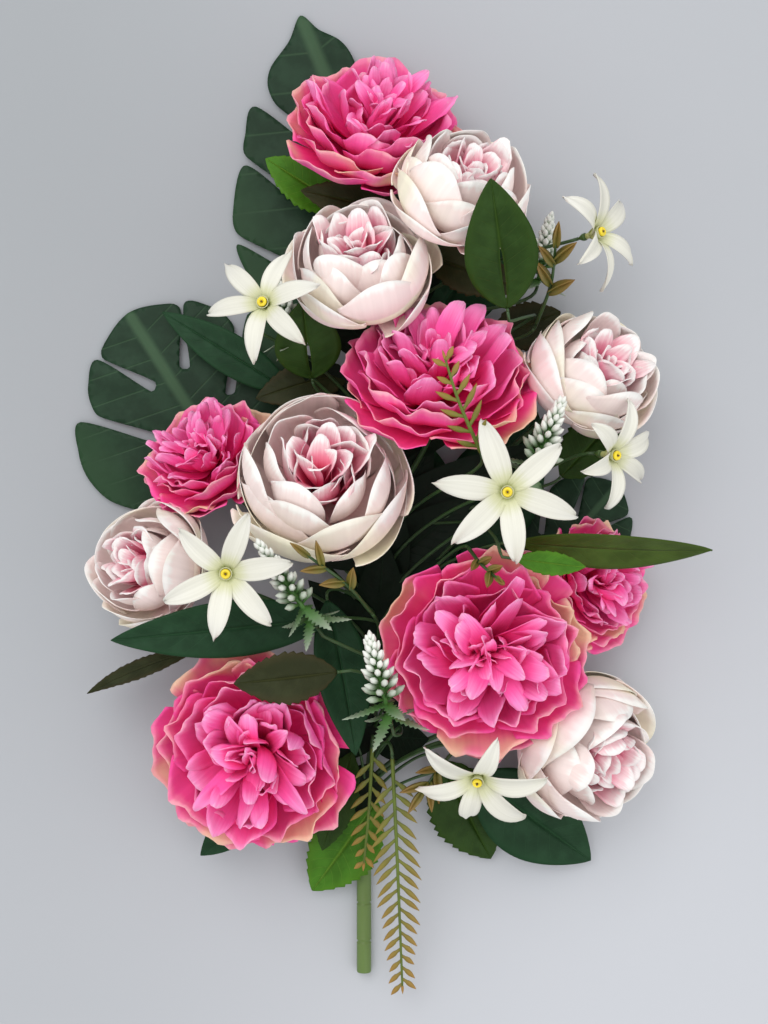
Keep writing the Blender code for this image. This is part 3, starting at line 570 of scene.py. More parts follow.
def leaf_material(name, body, rim, vein, roughness=0.5, veins=11.0):
    """Printed leaf fabric: a pale midrib, slanting side veins, a rim tint and a satin face."""
    material, tree, shader = shader_of(name, roughness, LEAF_SPECULAR)
    outward = maths(tree, "ABSOLUTE", mark(tree, "across"))
    slant = maths(tree, "SUBTRACT", mark(tree, "along"), times(tree, outward, VEIN_SLANT))
    wave = maths(tree, "ABSOLUTE", maths(tree, "SINE", times(tree, slant, math.pi * veins)))
    side_vein = times(tree, span(tree, wave, 0.0, 0.16, 1.0, 0.0), span(tree, outward, 0.55, 1.0, 1.0, 0.0))
    midrib = span(tree, outward, 0.015, 0.07, 1.0, 0.0)
    lines = maths(tree, "MAXIMUM", midrib, times(tree, side_vein, 0.55))
    patches = noise(tree, object_place(tree), 70.0, 4.0, 0.6)
    paler = tuple(c * 1.45 + 0.004 for c in body)
    ground = blend_colours(tree, span(tree, patches, 0.35, 0.68), body, paler)
    ground = blend_colours(tree, times(tree, span(tree, outward, 0.5, 1.0), 0.7), ground, rim)
    colour = blend_colours(tree, times(tree, lines, 0.6), ground, vein)
    tree.links.new(colour, shader.inputs["Base Color"])
    relief = bump(tree, shader, maths(tree, "SUBTRACT", 1.0, lines), 0.5, 0.5)
    bump(tree, shader, weave(tree, LEAF_THREADS), 0.15, 0.12, relief)
    return material


def plastic_material(name, colour, tip, roughness=0.42):
    """Moulded plastic: a soft gloss, slight sink marks and a colour that runs to its tips."""
    material, tree, shader = shader_of(name, roughness, PLASTIC_SPECULAR)
    patches = noise(tree, object_place(tree), 120.0, 3.0)
    ground = blend_colours(tree, span(tree, patches, 0.3, 0.7), colour, tuple(c * 1.35 for c in colour))
    run = blend_colours(tree, span(tree, mark(tree, "layer"), 0.0, 1.0), ground, tip)
    tree.links.new(run, shader.inputs["Base Color"])
    bump(tree, shader, noise(tree, object_place(tree), 900.0, 2.0), 0.15, 0.3)
    return material


# Colours from a petal's foot, 0, to its rim, 1. The darker pinks at the feet of the hot pink petals are
# partly the fabric's deeper dye and partly painted shade for the depths of the head.
PINK_OUTER = [
    (0.0, (0.66, 0.004, 0.13)), (0.35, (0.95, 0.036, 0.27)), (0.82, (0.98, 0.105, 0.40)),
    (0.94, (0.98, 0.24, 0.46)), (1.0, (0.98, 0.42, 0.52)),
]
PINK_INNER = [
    (0.0, (0.76, 0.003, 0.14)), (0.35, (0.97, 0.030, 0.27)), (0.74, (0.99, 0.115, 0.42)),
    (0.94, (0.99, 0.27, 0.58)), (1.0, (0.99, 0.42, 0.68)),
]
# The near-white band at the blush rims is partly their paler edge and partly a painted highlight on the
# rolled rims.
BLUSH_OUTER = [
    (0.0, (0.94, 0.46, 0.50)), (0.14, (0.96, 0.70, 0.69)), (0.50, (0.98, 0.81, 0.78)),
    (0.88, (0.98, 0.84, 0.81)), (0.95, (0.98, 0.96, 0.93)),
]
BLUSH_INNER = [
    (0.0, (0.92, 0.02, 0.16)), (0.40, (0.96, 0.10, 0.27)), (0.70, (0.98, 0.38, 0.51)),
    (0.87, (0.98, 0.70, 0.74)), (0.95, (0.98, 0.93, 0.92)),
]
LILY_STOPS = [
    (0.0, (0.50, 0.54, 0.16)), (0.22, (0.66, 0.67, 0.44)), (0.45, (0.76, 0.75, 0.66)),
    (1.0, (0.77, 0.76, 0.70)),
]
PINK = petal_material("hot_pink_fabric", PINK_OUTER, PINK_INNER, (0.93, 0.62, 0.44), (0.50, 0.85))
BLUSH = petal_material(
    "blush_fabric", BLUSH_OUTER, BLUSH_INNER, (0.92, 0.87, 0.70), (0.15, 0.45), (0.13, 0.45), (0.52, 0.68)
)
LILY = petal_material("lily_fabric", LILY_STOPS, LILY_STOPS, (0.74, 0.73, 0.64), (0.5, 0.9))
YELLOW = plastic_material("lily_centre_plastic", (0.80, 0.62, 0.03), (0.10, 0.05, 0.02))
STEM = plastic_material("stem_plastic", (0.026, 0.066, 0.016), (0.13, 0.21, 0.045))
SEPAL = plastic_material("bud_leaf_plastic", (0.13, 0.13, 0.022), (0.26, 0.15, 0.03), 0.5)
FERN = plastic_material("fern_plastic", (0.085, 0.125, 0.010), (0.36, 0.190, 0.03), 0.5)
BUD = plastic_material("bud_plastic", (0.045, 0.135, 0.022), (0.86, 0.88, 0.82), 0.5)

# Each look's material: its name, its colours for the body, the rim and the veins, and where they
# differ its roughness and its number of veins.
LEAF_COLOURS = {
    # The first look is near-black: painted shade for the filler leaves in the gaps between the heads.
    "deep": ("deep_leaf_fabric", (0.003, 0.010, 0.004), (0.004, 0.014, 0.005), (0.008, 0.024, 0.010)),
    "dark": ("dark_leaf_fabric", (0.007, 0.034, 0.012), (0.011, 0.050, 0.017), (0.024, 0.078, 0.032)),
    "fresh": ("fresh_leaf_fabric", (0.036, 0.066, 0.005), (0.048, 0.086, 0.008), (0.075, 0.125, 0.018)),
    "mid": ("mid_leaf_fabric", (0.014, 0.040, 0.003), (0.024, 0.060, 0.005), (0.045, 0.095, 0.012)),
    "bright": ("bright_leaf_fabric", (0.042, 0.140, 0.006), (0.075, 0.20, 0.010), (0.15, 0.30, 0.03), 0.45),
    "olive": ("olive_leaf_fabric", (0.020, 0.024, 0.006), (0.040, 0.032, 0.010), (0.048, 0.052, 0.014)),
    "monstera": (
        "monstera_fabric", (0.008, 0.028, 0.012), (0.024, 0.066, 0.026), (0.060, 0.125, 0.060), 0.42, 7.0,
    ),
}
LEAF_LOOKS = {look: leaf_material(*row) for look, row in LEAF_COLOURS.items()}


# Petals


def curve_at(controls, share):
    """Points of a cubic curve in the plane of reach and height, and its unit normals there."""
    a, b, c, d = [np.array(p, float) for p in controls]
    t = share[..., None]
    place = a * (1 - t) ** 3 + b * 3 * (1 - t) ** 2 * t + c * 3 * (1 - t) * t**2 + d * t**3
    slope = 3 * ((b - a) * (1 - t) ** 2 + 2 * (c - b) * (1 - t) * t + (d - c) * t**2)
    slope = slope / np.maximum(np.linalg.norm(slope, axis=-1, keepdims=True), 1e-9)
    return place, np.stack([-slope[..., 1], slope[..., 0]], axis=-1)


def turned_out(angle, curve, aside):
    """Points about a flower's axis, from their reach and height and how far aside they are."""
    out = np.array([math.cos(angle), math.sin(angle)])
    side = np.array([-math.sin(angle), math.cos(angle)])
    return np.concatenate([curve[..., :1] * out + aside[..., None] * side, curve[..., 1:]], axis=-1)


Layer = namedtuple("Layer", "count width fall round reaches heights ruffle waves cup turn loose skew")

# A layer's width is a share of the head's radius, and its petals run from the heart to the rim
# through reaches and heights, which are shares of the head's radius and height. fall is how far the
# rim's corners drop and round how late they do so, loose is how far the petals stray from their even
# places, and skew is how far one side lies outside and above the other.
RUFFLED_LAYERS = [Layer(*row) for row in (
    (5, 1.26, 0.26, 2.4, (0.05, 0.6, 0.97, 1.0), (0.02, -0.04, 0.08, 0.34), 0.05, 2.4, 0.95, 0.0, 0.4, 0.06),
    (6, 1.12, 0.26, 2.4, (0.05, 0.58, 0.92, 0.95), (0.05, 0.0, 0.18, 0.52), 0.06, 2.4, 0.85, 0.5, 0.4, 0.06),
    (6, 0.98, 0.28, 2.4, (0.05, 0.52, 0.84, 0.84), (0.08, 0.04, 0.32, 0.68), 0.06, 2.3, 0.72, 0.2, 0.5, 0.07),
    (7, 0.72, 0.3, 2.2, (0.05, 0.46, 0.72, 0.72), (0.12, 0.1, 0.44, 0.8), 0.06, 1.9, 0.52, 0.6, 0.8, 0.08),
    (10, 0.38, 0.24, 2.0, (0.04, 0.36, 0.6, 0.66), (0.18, 0.18, 0.52, 0.9), 0.035, 1.3, 0.26, 0.1, 1.3, 0.1),
    (13, 0.23, 0.2, 2.0, (0.04, 0.28, 0.46, 0.55), (0.2, 0.26, 0.62, 0.98), 0.022, 1.1, 0.18, 0.7, 1.7, 0.1),
    (12, 0.22, 0.2, 2.0, (0.03, 0.2, 0.34, 0.38), (0.24, 0.34, 0.66, 1.0), 0.022, 1.1, 0.16, 0.3, 1.8, 0.1),
    (11, 0.2, 0.2, 2.0, (0.02, 0.12, 0.22, 0.22), (0.28, 0.42, 0.7, 1.0), 0.02, 1.0, 0.14, 0.8, 1.6, 0.08),
    (7, 0.17, 0.2, 2.0, (0.0, 0.05, 0.1, 0.06), (0.3, 0.48, 0.72, 0.96), 0.016, 1.0, 0.12, 0.4, 1.2, 0.05),
)]
CUPPED_LAYERS = [Layer(*row) for row in (
    (4, 1.5, 0.28, 2.2, (0.05, 0.8, 1.04, 0.98), (0.0, -0.12, 0.12, 0.4), 0.014, 1.0, 0.92, 0.0, 0.8, 0.15),
    (5, 1.46, 0.26, 2.2, (0.05, 0.8, 1.07, 0.88), (0.02, -0.06, 0.24, 0.66), 0.012, 1, 0.88, 0.5, 0.7, 0.13),
    (5, 1.36, 0.26, 2.2, (0.05, 0.76, 1.05, 0.74), (0.04, 0.0, 0.4, 0.84), 0.014, 1.0, 0.8, 0.25, 0.7, 0.12),
    (5, 1.1, 0.28, 2.2, (0.05, 0.7, 0.96, 0.6), (0.08, 0.08, 0.56, 0.96), 0.016, 1.1, 0.68, 0.7, 0.7, 0.11),
    (6, 0.74, 0.26, 2.1, (0.05, 0.52, 0.74, 0.5), (0.14, 0.18, 0.6, 0.98), 0.026, 1.2, 0.42, 0.1, 1.0, 0.1),
    (8, 0.5, 0.24, 2.0, (0.04, 0.38, 0.56, 0.44), (0.2, 0.28, 0.64, 0.98), 0.028, 1.1, 0.3, 0.6, 1.1, 0.1),
    (7, 0.42, 0.24, 2.0, (0.03, 0.26, 0.42, 0.34), (0.24, 0.36, 0.68, 0.98), 0.025, 1, 0.24, 0.2, 1.2, 0.08),
    (6, 0.36, 0.24, 2.0, (0.02, 0.14, 0.28, 0.22), (0.26, 0.4, 0.68, 0.97), 0.02, 1.0, 0.2, 0.5, 1.2, 0.06),
    (4, 0.28, 0.26, 2.0, (0.0, 0.06, 0.14, 0.1), (0.28, 0.42, 0.68, 0.94), 0.018, 1.0, 0.16, 0.2, 1.0, 0.06),
)]
WIDE_PETAL = 0.7
LOOSE_PETAL = 1.0
WIDE_GRID = (15, 21)
NARROW_GRID = (13, 9)
PETAL_TWIST = 0.12
STRIP_TWIST = 0.55
RIM_CURL = 1.3
RIM_CURL_FROM = 0.90

# Heads whose petals bend down under a leaf that lies over them, how far under it and how steeply.
TUCKED = {"pink_peony_lower_left": "lance_leaf_centre"}
TUCK_DEPTH = 2.5
TUCK_SLOPE = 0.9


def tucked_under(points, leaf):
    """The points, lowered where they would stand through or above the leaf."""
    root, tip, direction, side, normal = as_arrays(leaf_axes(leaf))
    away = points - root
    lengthwise, across, rise = away @ direction, np.abs(away @ side), away @ normal
    beyond = np.maximum(lengthwise - np.linalg.norm(tip - root), 0)
    outside = np.maximum(across - leaf.width / 2, 0) + np.maximum(-lengthwise, 0) + beyond
    excess = np.maximum(rise - (TUCK_SLOPE * outside - TUCK_DEPTH), 0)
    return points - excess[..., None] * normal


def petal_path(layer, radius, height, draw):
    """The curve of a petal's middle line, a little different for each petal."""
    stretch = 1 + draw.uniform(-0.09, 0.05) * (0.5 + layer.loose)
    path = [[r * radius * stretch, z * height * stretch] for r, z in zip(layer.reaches, layer.heights)]
    stray = layer.loose * radius
    path[2][0] += draw.uniform(-0.04, 0.04) * stray
    path[3][0] += draw.uniform(-0.09, 0.09) * stray
    path[3][1] += draw.uniform(-0.10, 0.03) * stray
    return path


def petal_lift(layer, radius, u, share, half, draw):
    """How far a petal stands off its middle line: its cup, ruffles, twist and curled rim."""
    bend = layer.cup * radius
    lift = bend * (1 - np.cos(u * half / bend))
    phase = draw.uniform(0, 6.28)
    ripple = layer.ruffle * radius * draw.uniform(0.7, 1.3)
    drawn_in = share**2.4 * (0.55 + 0.6 * np.abs(u))
    lift += ripple * drawn_in * np.sin(layer.waves * np.pi * u + phase)
    lift += 0.4 * ripple * share**6 * np.sin(1.9 * layer.waves * np.pi * u + 2.3 * phase)
    twist = STRIP_TWIST if layer.loose >= LOOSE_PETAL else PETAL_TWIST
    lift += draw.uniform(-twist, twist) * u * half * share
    curl = np.clip((share / np.maximum(share.max(axis=0), TINY) - RIM_CURL_FROM) / (1 - RIM_CURL_FROM), 0, 1)
    lift -= RIM_CURL * curl**1.5 * draw.uniform(0.5, 1.4)
    return lift + layer.skew * radius * 0.5 * u * share


def petal(layer, radius, height, azimuth, draw):
    """One petal in the head's own frame: its points, their places across and their shares along."""
    wide = layer.width > WIDE_PETAL
    strip = layer.loose >= LOOSE_PETAL
    rows, columns = WIDE_GRID if wide else NARROW_GRID
    v, u = unit_grid(rows, np.linspace(-1, 1, columns))
    corner = 1 - np.sqrt(1 - 0.97 * u**2) if strip else np.abs(u) ** layer.round
    share = v * (1 - layer.fall * draw.uniform(0.8, 1.15) * corner)
    place, normal = curve_at(petal_path(layer, radius, height, draw), share)
    width = layer.width * radius * draw.uniform(0.86, 1.12) / 2
    swell = np.sin(np.pi / 2 * np.clip(share * (1.25 if wide else 1.7), 0, 1))
    half = width * (0.16 + 0.84 * swell)
    if not wide:
        half = half * (1 - 0.22 * np.clip(share * 2 - 1, 0, 1) ** 2)
    bend = layer.cup * radius
    aside = bend * np.sin(u * half / bend)
    lift = petal_lift(layer, radius, u, share, half, draw)
    if strip:
        stray = layer.loose * radius
        aside = aside + draw.uniform(-0.15, 0.15) * stray * share**1.6
        lift += draw.uniform(-0.06, 0.10) * stray * np.sin(np.pi * share)
    curve = place + normal * lift[..., None]
    curve[..., 1] += draw.uniform(-1, 1) * layer.skew * radius * u * share
    angle = azimuth + draw.uniform(-0.20, 0.20) * (0.5 + layer.loose)
    return turned_out(angle, curve, aside), u, share


def make_peony(head, seed):
    draw = np.random.default_rng(seed)
    layers = RUFFLED_LAYERS if head.kind == "ruffled" else CUPPED_LAYERS
    turn, shift = head_frame(head, *head_root(head))
    over = next((leaf for leaf in LEAVES if leaf.name == TUCKED.get(head.name)), None)
    sheet = Sheet()
    for index, layer in enumerate(layers):
        for k in range(layer.count):
            azimuth = 2 * math.pi * (k + layer.turn) / layer.count
            points, u, share = petal(layer, head.radius, head_height(head), azimuth, draw)
            points = points @ turn.T + shift
            if over:
                points = tucked_under(points, over)
            sheet.grid(points, marks_of(u, share, index / (len(layers) - 1), draw.uniform(0, 1)))
    slot, material = ("petal_pink", PINK) if head.kind == "ruffled" else ("petal_blush", BLUSH)
    sheet.piece(head.name + "_petals", head.name, [material], PETAL_THICKNESS)


# Lilies

LILY_PETALS = 6
LILY_PETAL_ROWS = 15
LILY_PETAL_COLUMNS = 9
LILY_SIDES = 16
PISTIL_SIDES = 10

# Surfaces turned about a lily's axis: pairs of radius and height.
LILY_THROAT = [(0.0, 0.2), (1.4, 0.4), (1.6, 3.0), (2.4, 7.0), (3.4, 10.0)]
LILY_RING = [
    (0.0, 8.6), (1.6, 8.8), (2.5, 9.8), (2.7, 11.0), (2.2, 11.9), (1.5, 11.7), (0.9, 10.9), (0.0, 10.7),
]
LILY_PISTIL = [(0.55, 10.6), (0.6, 11.6), (0.35, 12.2), (0.0, 12.3)]


def lily_petal(whole, azimuth, draw):
    """One long petal in the lily's own frame, and its marks."""
    v, u = unit_grid(LILY_PETAL_ROWS, np.linspace(-1, 1, LILY_PETAL_COLUMNS))
    length = whole * (1 + draw.uniform(-0.10, 0.04))
    droop = draw.uniform(-0.16, 0.10) * length
    shoulder = (0.66 * length, 13.0 + 0.17 * length + droop / 2)
    share = v * (1 - 0.05 * np.abs(u) ** 1.5)
    place, normal = curve_at([(1.6, 3.0), (0.16 * length, 13.0), shoulder, (length, 9.0 + droop)], share)
    bulge = np.clip(np.sin(np.pi * np.clip(0.14 + 0.86 * share, 0, 1) ** 1.35), 0, 1) ** 0.8
    half = np.maximum(0.165 * length * bulge, 0.2)
    lift = 0.26 * half * np.abs(u) ** 1.6 + 0.5 * np.exp(-((u / 0.18) ** 2)) * (1 - share) - 0.25 * np.abs(u)
    lift += 1.1 * share * np.sin(3 * u + draw.uniform(0, 6.28))
    lift += draw.uniform(-0.35, 0.35) * u * half * share
    angle = azimuth + draw.uniform(-0.13, 0.13)
    sweep = draw.uniform(-0.10, 0.10) * length * share**2
    points = turned_out(angle, place + normal * lift[..., None], u * half + sweep)
    return points, marks_of(u, share, 0.0, draw.uniform(0, 1))


def make_lily(lily, seed):
    """Long petals from one tube, a pale throat and a yellow centre with a dark pistil."""
    draw = np.random.default_rng(seed)
    turn, shift = head_frame(lily, *lily_root(lily))
    sheet = Sheet()
    for k in range(LILY_PETALS):
        points, marks = lily_petal(lily.petal, 2 * math.pi * k / LILY_PETALS, draw)
        sheet.grid(points @ turn.T + shift, marks)
    lathe_into(sheet, turn, shift, LILY_THROAT, LILY_SIDES, 0.05)
    sheet.piece(lily.name + "_petals", lily.name, [LILY], CLOTH_THICKNESS)
    centre = Sheet()
    lathe_into(centre, turn, shift, LILY_RING, LILY_SIDES, 0.0)
    lathe_into(centre, turn, shift, LILY_PISTIL, PISTIL_SIDES, 1.0)
    centre.piece(lily.name + "_centre", lily.name, [YELLOW])


def lathe_into(sheet, turn, shift, profile, sides, layer):
    """A surface turned about an axis from pairs of radius and height."""
    angles = np.linspace(0, 2 * np.pi, sides, endpoint=False)
    radius, height = np.array(profile, float).T[..., None]
    points = [radius * np.cos(angles), radius * np.sin(angles), height * np.ones_like(angles)]
    marks = np.zeros((len(profile), sides, 4))
    marks[..., 1] = np.linspace(0, 0.2, len(profile))[:, None]
    marks[..., 2] = layer
    sheet.grid(np.stack(points, axis=-1) @ turn.T + shift, marks, wrap=True)


# Leaves

LEAF_ROWS = 49
HALF_LEAF_COLUMNS = 7
SLOT_HALF_WIDTH = 0.9
SLOT_SPAN = (0.10, 0.48)
TOOTH_LENGTH = 5.0
LEAST_TEETH = 7
LEAF_SLOTS = {
    "dark": "leaf_dark", "mid": "leaf_mid", "fresh": "leaf_mid", "bright": "leaf_bright",
    "olive": "leaf_olive",
}


def half_blade(leaf, length, fold, phase):
    """Half a leaf: shares along and places across, and how far along, aside and up the points are."""
    v, u = unit_grid(LEAF_ROWS, np.linspace(0, 1, HALF_LEAF_COLUMNS))
    slotted = leaf.name in SLOTTED
    serrated = leaf.look in SERRATED_LOOKS and not slotted
    bulge = np.sin(np.pi * np.clip(v, 0, 1) ** 0.85) ** 0.8
    half = np.maximum(leaf.width / 2 * np.nan_to_num(bulge), np.where(v < 0.5, 1.1, 0.15))
    reach = v * length
    if serrated:
        saw = (v * max(LEAST_TEETH, round(length / TOOTH_LENGTH))) % 1.0
        half = half * (1 - 0.13 * saw * u**3)
        reach = reach + u**3 * half * 0.10
    rise = leaf.arch * 4 * v * (1 - v) + fold * u * half
    veins = 9 if serrated else 12
    rise += 0.25 * np.sin((v - VEIN_SLANT * u) * math.pi * veins) * (1 - u) * u * 2
    rise += 0.5 * np.sin(v * 7 + phase) * u**2 + 0.35 * np.exp(-((u / 0.10) ** 2))
    parted = np.zeros_like(u)
    if slotted:
        from_root, to_end = SLOT_SPAN
        inside = np.clip((v - from_root) / (to_end - from_root), 0, 1)
        parted = SLOT_HALF_WIDTH * np.sin(np.pi * inside) ** 0.3 * (inside > 0) * (inside < 1) * (1 - u) ** 2
    return v, u, reach, u * half + parted, rise


def make_leaf(leaf, seed):
    """A long leaf in two halves, with a raised midrib, slanting veins and perhaps teeth or a slot."""
    draw = np.random.default_rng(seed)
    root, tip, along_it, *across_it = leaf_axes(leaf)
    start = root + along_it * SEAT_GAP
    fold = 0.10 + draw.uniform(-0.02, 0.05)
    phase = draw.uniform(0, 6)
    tone = draw.uniform(0, 1)
    v, u, reach, aside, rise = half_blade(leaf, (tip - start).length, fold, phase)
    foot, direction, side, normal = as_arrays((start, along_it, *across_it))
    middle = foot + reach[..., None] * direction
    sheet = Sheet()
    for hand in (-1, 1):
        points = middle + (hand * aside)[..., None] * side + rise[..., None] * normal
        sheet.grid(points[:, ::hand], marks_of(hand * u, v, 0.0, tone)[:, ::hand])
    slot, material = LEAF_SLOTS[leaf.look], LEAF_LOOKS[leaf.look]
    sheet.piece(leaf.name + "_blade", leaf.name, [material], CLOTH_THICKNESS)


ROUNDING = 0.45
OUTLINE_SPACING = 2.2
MESH_SPACING = 3.6


def smooth_ring(corners, spacing):
    """A closed smooth line through the corners."""
    count = len(corners)
    ring = []
    for k in range(count):
        a, b, c, d = (corners[(k + j) % count] for j in (-1, 0, 1, 2))
        steps = max(2, round((c - b).length / spacing))
        for step in range(steps):
            t = step / steps
            into, out_of = (c - a) * ROUNDING, (d - b) * ROUNDING
            whole = (c - b).length
            into = into * min(1, whole / max(into.length, TINY))
            out_of = out_of * min(1, whole / max(out_of.length, TINY))
            ease = 3 * t**2 - 2 * t**3
            ring.append(b + (c - b) * ease + into * (t**3 - 2 * t**2 + t) + out_of * (t**3 - t**2))
    return ring


def filled(ring, half, length):
    """The outline filled with a fine staggered mesh: points in its plane, and faces."""
    edges = [(k, (k + 1) % len(ring)) for k in range(len(ring))]
    step = MESH_SPACING
    inner = []
    for i in range(int(-half / step), int(half / step) + 1):
        for j in range(int(-0.1 * length / step), int(length / step) + 1):
            inner.append(Vector((i * step, j * step + (i % 2) * step / 2)))
    made = delaunay_2d_cdt(ring + inner, edges, [], 1, 0.01)
    used = sorted({k for face in made[2] for k in face})
    renumbered = {k: place for place, k in enumerate(used)}
    return [made[0][k] for k in used], [[renumbered[k] for k in face] for face in made[2]]


def make_monstera(leaf, outline, right_share):
    """A slotted leaf: its outline is smoothed, filled with a fine mesh and bowed along its midrib."""
    root, tip, direction, side, normal = leaf_axes(leaf)
    length = (tip - root).length
    half = leaf.width / 2
    right, left = [], []
    for share, w in outline:
        back = share * right_share if share < 0 else share
        right.append(Vector((w * half * right_share, back * length)))
        left.insert(0, Vector((-w * half, share * length)))
    ring = smooth_ring([Vector((0, length))] + right + [Vector((0, 0))] + left, OUTLINE_SPACING)
    flat, faces = filled(ring, half, length)
    points, marks = [], []
    for p in flat:
        y = min(max(p.y / length, 0), 1)
        x = p.x / half
        rise = leaf.arch * (1 - abs(x)) * math.sin(math.pi * y) + 0.8
        rise += 0.8 * math.sin((y - 0.3 * abs(x)) * math.pi * 7) * abs(x) * (1.1 - abs(x))
        rise += 0.7 * math.exp(-((x / 0.03) ** 2))
        points.append(list(root + direction * (p.y + SEAT_GAP) + side * p.x + normal * rise))
        marks.append((x, p.y / length, 0.0, 0.5))
    sheet = Sheet()
    sheet.add(points, marks, faces)
    sheet.piece(leaf.name + "_blade", leaf.name, [LEAF_LOOKS["monstera"]], STIFF_THICKNESS)


# Fronds and flower spikes

FERN_SPACING = 8.6
LEAFLET_WIDTH = 3.2
LEAFLET_STALK = 0.28
FROND_STEM_RADIUS = 0.9
FROND_SIDES = 8
SPIKE_BUDS = 46
BUD_SIDES = 6
RUFF_LEAVES = 7
RUFF_WIDTH = 8.5
RUFF_TEETH = 0.5
GOLDEN_ANGLE = 2.399963

# Where the bud leaves sit on a sprig, and on which side.
BUD_PLACES = [(0.45, 1), (0.55, -1), (0.78, -1), (0.82, 1), (0.98, 0)]


def frond_line(frond, spacing=2):
    return through([seen(frond.root), seen(frond.middle), seen(frond.tip)], spacing)


def frond_stem_into(sheet, line, thinning):
    last = len(line) - 1
    tube_into(sheet, line, [FROND_STEM_RADIUS - thinning * k / last for k in range(len(line))], FROND_SIDES)


def blade_into(sheet, foot, aim, across, up, length, width, curl, ends, slot=0, rows=7, teeth=0.0, stalk=0.0):
    """A small moulded blade that swells and runs to a point. ends are the layer marks of its ends."""
    v, u = unit_grid(rows, (-1.0, 0.0, 1.0))
    oval = np.clip((v - stalk) / (1 - stalk), 0, 1)
    half = width / 2 * np.sin(np.pi * np.clip(0.12 + 0.88 * oval, 0, 1) ** 0.8) ** 0.9
    half = half * (1 - teeth * ((np.arange(rows) % 2)[:, None]) * (np.abs(u) > 0.5))
    rise = curl * length * v**2 - 0.18 * half * (1 - np.abs(u))
    base, forward, aside, over = as_arrays((foot, aim, across, up))
    points = base + (v * length)[..., None] * forward + (u * half)[..., None] * aside + rise[..., None] * over
    sheet.grid(points, marks_of(u, v, ends[0] + (ends[1] - ends[0]) * v), slot)


def make_fern(frond, seed):
    """A moulded frond: fine leaflets in pairs, green by the stem and brown towards their tips."""
    draw = np.random.default_rng(seed)
    line = frond_line(frond)
    total = sum((b - a).length for a, b in zip(line, line[1:]))
    sheet = Sheet()
    frond_stem_into(sheet, line, 0.5)
    pairs = round(total / FERN_SPACING)
    for pair in range(pairs):
        share = 0.10 + 0.88 * pair / (pairs - 1)
        heading = along(line, share)[1]
        side, up = frame_across(heading, FRONT)
        swell = 0.55 + 0.45 * math.sin(math.pi * min(share + 0.15, 1))
        ends = (0.05 + 0.35 * share, 0.40 + 0.50 * share)
        for sign in (-1, 1):
            point = along(line, min(share + 0.2 * sign / pairs, 1))[0]
            reach = frond.leaflet * swell * draw.uniform(0.9, 1.08)
            aim = (side * sign + heading * draw.uniform(0.60, 0.82) + up * 0.12).normalized()
            across = up.cross(aim).normalized()
            shape = (reach, LEAFLET_WIDTH, 0.16, ends)
            blade_into(sheet, point, aim, across, heading, *shape, rows=11, stalk=LEAFLET_STALK)
            sheet.points[-1] += np.array(list(aim.cross(across))) * draw.uniform(-0.1, 0.1)
    point, heading = line[-1], tangent_at(line, len(line) - 1)
    side, up = frame_across(heading, FRONT)
    blade_into(sheet, point, heading, side, up, 6.0, 1.6, 0.05, (0.8, 1.0))
    sheet.piece(frond.name + "_leaflets", frond.name, [FERN], STIFF_THICKNESS)


def make_bud_sprig(frond, seed):
    """A sprig of folded olive bud leaves, with a brown blush towards their tips."""
    draw = np.random.default_rng(seed)
    line = frond_line(frond)
    sheet = Sheet()
    frond_stem_into(sheet, line, 0.4)
    for share, sign in BUD_PLACES:
        point, heading = along(line, share)
        side, up = frame_across(heading, FRONT)
        aim = (side * sign * 0.8 + heading + up * draw.uniform(0.1, 0.35)).normalized()
        across = up.cross(aim).normalized()
        over = aim.cross(across)
        size = frond.leaflet * draw.uniform(0.85, 1.05)
        for fold in (-1, 1):
            tilted = (across * 0.6 + over * fold * 0.8).normalized()
            blade_into(sheet, point, aim, tilted, over, size, size * 0.42, 0.08, (0.1, 0.9), 1, 9)
    sheet.piece(frond.name + "_buds", frond.name, [STEM, SEPAL], STIFF_THICKNESS)


def bud_into(sheet, foot, lean, size, share):
    """One club-shaped bud of a spike. share is how high on the spike it sits."""
    line = [foot + lean * (size * s) for s in (0, 0.25, 0.5, 0.75, 0.97)]
    fat = 1.9 - 0.5 * share
    tube_into(sheet, line, [0.3 * fat, 0.45 * fat, 0.95 * fat, 0.85 * fat, 0.2], BUD_SIDES)
    white = 0.45 + 0.55 * min(share * 1.8, 1)
    sheet.marks[-1][:, 2] = white * np.clip(sheet.marks[-1][:, 1] * 2.6 - 0.75, 0, 1)


def make_spike(spike, seed):
    """A cone of pointed buds, white at their tips, over a ruff of small toothed leaves."""
    draw = np.random.default_rng(seed)
    root, tip = seen(spike.root), seen(spike.tip)
    heading = (tip - root).normalized()
    length = (tip - root).length
    side, up = frame_across(heading, FRONT)
    sheet = Sheet()
    core = [root + heading * (length * s) for s in (0.01, 0.25, 0.5, 0.75, 0.94)]
    tube_into(sheet, core, [0.9, 1.2, 1.6, 1.3, 0.6], FROND_SIDES)
    for k in range(SPIKE_BUDS):
        share = k / (SPIKE_BUDS - 1)
        out = around(side, up, k * GOLDEN_ANGLE)
        foot = root + heading * (length * (0.26 + 0.66 * share)) + out * (1.5 * (1 - share))
        lean = (out * (1 - 0.75 * share) + heading * (0.55 + 0.5 * share)).normalized()
        bud_into(sheet, foot, lean, spike.radius * (1.15 - 0.45 * share) * draw.uniform(0.85, 1.1), share)
    for k in range(RUFF_LEAVES):
        out = around(side, up, 2 * math.pi * k / RUFF_LEAVES + 0.3)
        aim = (out - heading * draw.uniform(0.1, 0.9)).normalized()
        across = heading.cross(out).normalized()
        size = spike.radius * draw.uniform(1.9, 2.6)
        foot = root + heading * (length * (0.10 + 0.12 * (k % 2)))
        blade_into(sheet, foot, aim, across, heading, size, RUFF_WIDTH, 0.12, (0.0, 0.45), 0, 19, RUFF_TEETH)
    sheet.piece(spike.name + "_buds", spike.name, [BUD], CLOTH_THICKNESS)


# Handle and stem tree

